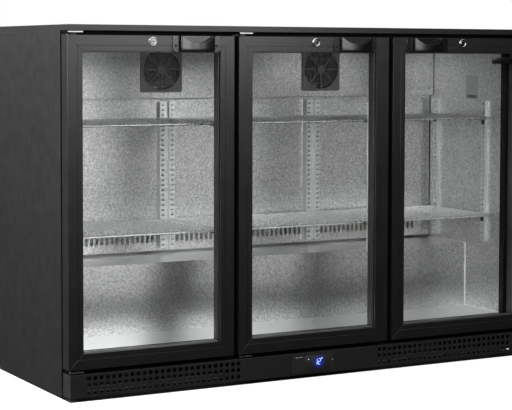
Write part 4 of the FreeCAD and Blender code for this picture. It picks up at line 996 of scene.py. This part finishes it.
def studio_floor():
    """A pale floor that throws no light back up, and its shaded patch beneath the object."""
    pale = Finish("pale_floor", (0.8, 0.8, 0.8), 0.7)
    pale.tint(pale.noise(1.5), 0.01)
    pale.sheen_drift(pale.noise(3.0), 0.05)
    pale.set("Specular IOR Level", 0.1)
    pale.set("Emission Color", (1.0, 1.0, 1.0, 1.0))
    pale.set("Emission Strength", 0.45)
    shaded = Finish("shaded_floor", (0.02, 0.02, 0.02), 0.8)
    shaded.tint(shaded.noise(1.5), 0.01)
    low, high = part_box("kick_plate")
    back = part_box("rear_grille")[0].y
    columns = (-FLOOR_REACH, low.x, high.x + SHADE_PAST_KICK, FLOOR_REACH)
    bm = bmesh.new()
    add_grid(bm, [[bm.verts.new((x, y, 0.0)) for x in columns]
                  for y in (-FLOOR_REACH, low.y, back, FLOOR_REACH)])
    bm.faces.ensure_lookup_table()
    bm.faces[4].material_index = 1  # the middle one of nine
    data = bpy.data.meshes.new("studio_floor")
    bm.to_mesh(data)
    bm.free()
    data.materials.append(pale.material)
    data.materials.append(shaded.material)
    floor = bpy.data.objects.new("studio_floor", data)
    bpy.context.scene.collection.objects.link(floor)
    floor.visible_diffuse = False
    floor.visible_glossy = False
    floor.visible_transmission = False


def studio_world():
    """White to the eye; as light, a soft sky above the front and a glow low behind."""
    world = bpy.data.worlds.new("studio")
    bpy.context.scene.world = world
    world.use_nodes = True
    world.node_tree.nodes.clear()
    nodes = Nodes(world.node_tree)
    towards = nodes.axes(nodes.node("ShaderNodeTexCoord").outputs["Generated"])

    def ramp(axis, start, end):
        """Rises from 0 to 1 as the direction's coordinate goes from start to end."""
        return nodes.remap(towards[axis], 0.0, 1.0, start, end)

    def product(first, *others):
        for other in others:
            first = nodes.maths("MULTIPLY", first, other)
        return first

    front_sky = product(ramp("Z", 0.39, 0.51), ramp("Y", 0.3, -0.3), 0.95)
    rear_glow = product(ramp("Z", 0.06, 0.18), ramp("Z", 0.51, 0.39), ramp("Y", -0.3, 0.3), 2.0)
    sky, backdrop = nodes.node("ShaderNodeBackground"), nodes.node("ShaderNodeBackground")
    nodes.link(nodes.maths("ADD", front_sky, rear_glow), sky.inputs["Strength"])
    for light in (sky, backdrop):
        light.inputs["Color"].default_value = (1.0, 1.0, 1.0, 1.0)
    surface = nodes.mix_shaders(nodes.node("ShaderNodeLightPath").outputs["Is Camera Ray"],
                                sky.outputs["Background"], backdrop.outputs["Background"])
    nodes.link(surface, nodes.node("ShaderNodeOutputWorld").inputs["Surface"])


def studio_camera():
    """A long lens from the left front, at about the height of the worktop."""
    data = bpy.data.cameras.new("camera")
    data.sensor_width = 36.0
    data.lens = 116.38
    data.shift_x = -0.0477
    data.shift_y = -0.1051
    data.clip_start = 0.1
    data.clip_end = 200.0
    camera = bpy.data.objects.new("camera", data)
    bpy.context.scene.collection.objects.link(camera)
    camera.matrix_world = (Matrix.Translation(CAMERA_PLACE)
                           @ Matrix.Rotation(math.radians(CAMERA_TURN), 4, "Z")
                           @ Matrix.Rotation(math.radians(CAMERA_TILT), 4, "X")
                           @ Matrix.Rotation(math.radians(CAMERA_ROLL), 4, "Z"))
    bpy.context.scene.camera = camera


def build_stage():
    """Floor, world, lights and camera; looking through several panes takes many bounces."""
    studio_floor()
    studio_world()
    studio_lights()
    studio_camera()
    bpy.context.scene.view_settings.view_transform = "Standard"
    bpy.context.scene.cycles.transparent_max_bounces = 32


paint_nodes()
build_doors()
build_cabinet()
build_stage()
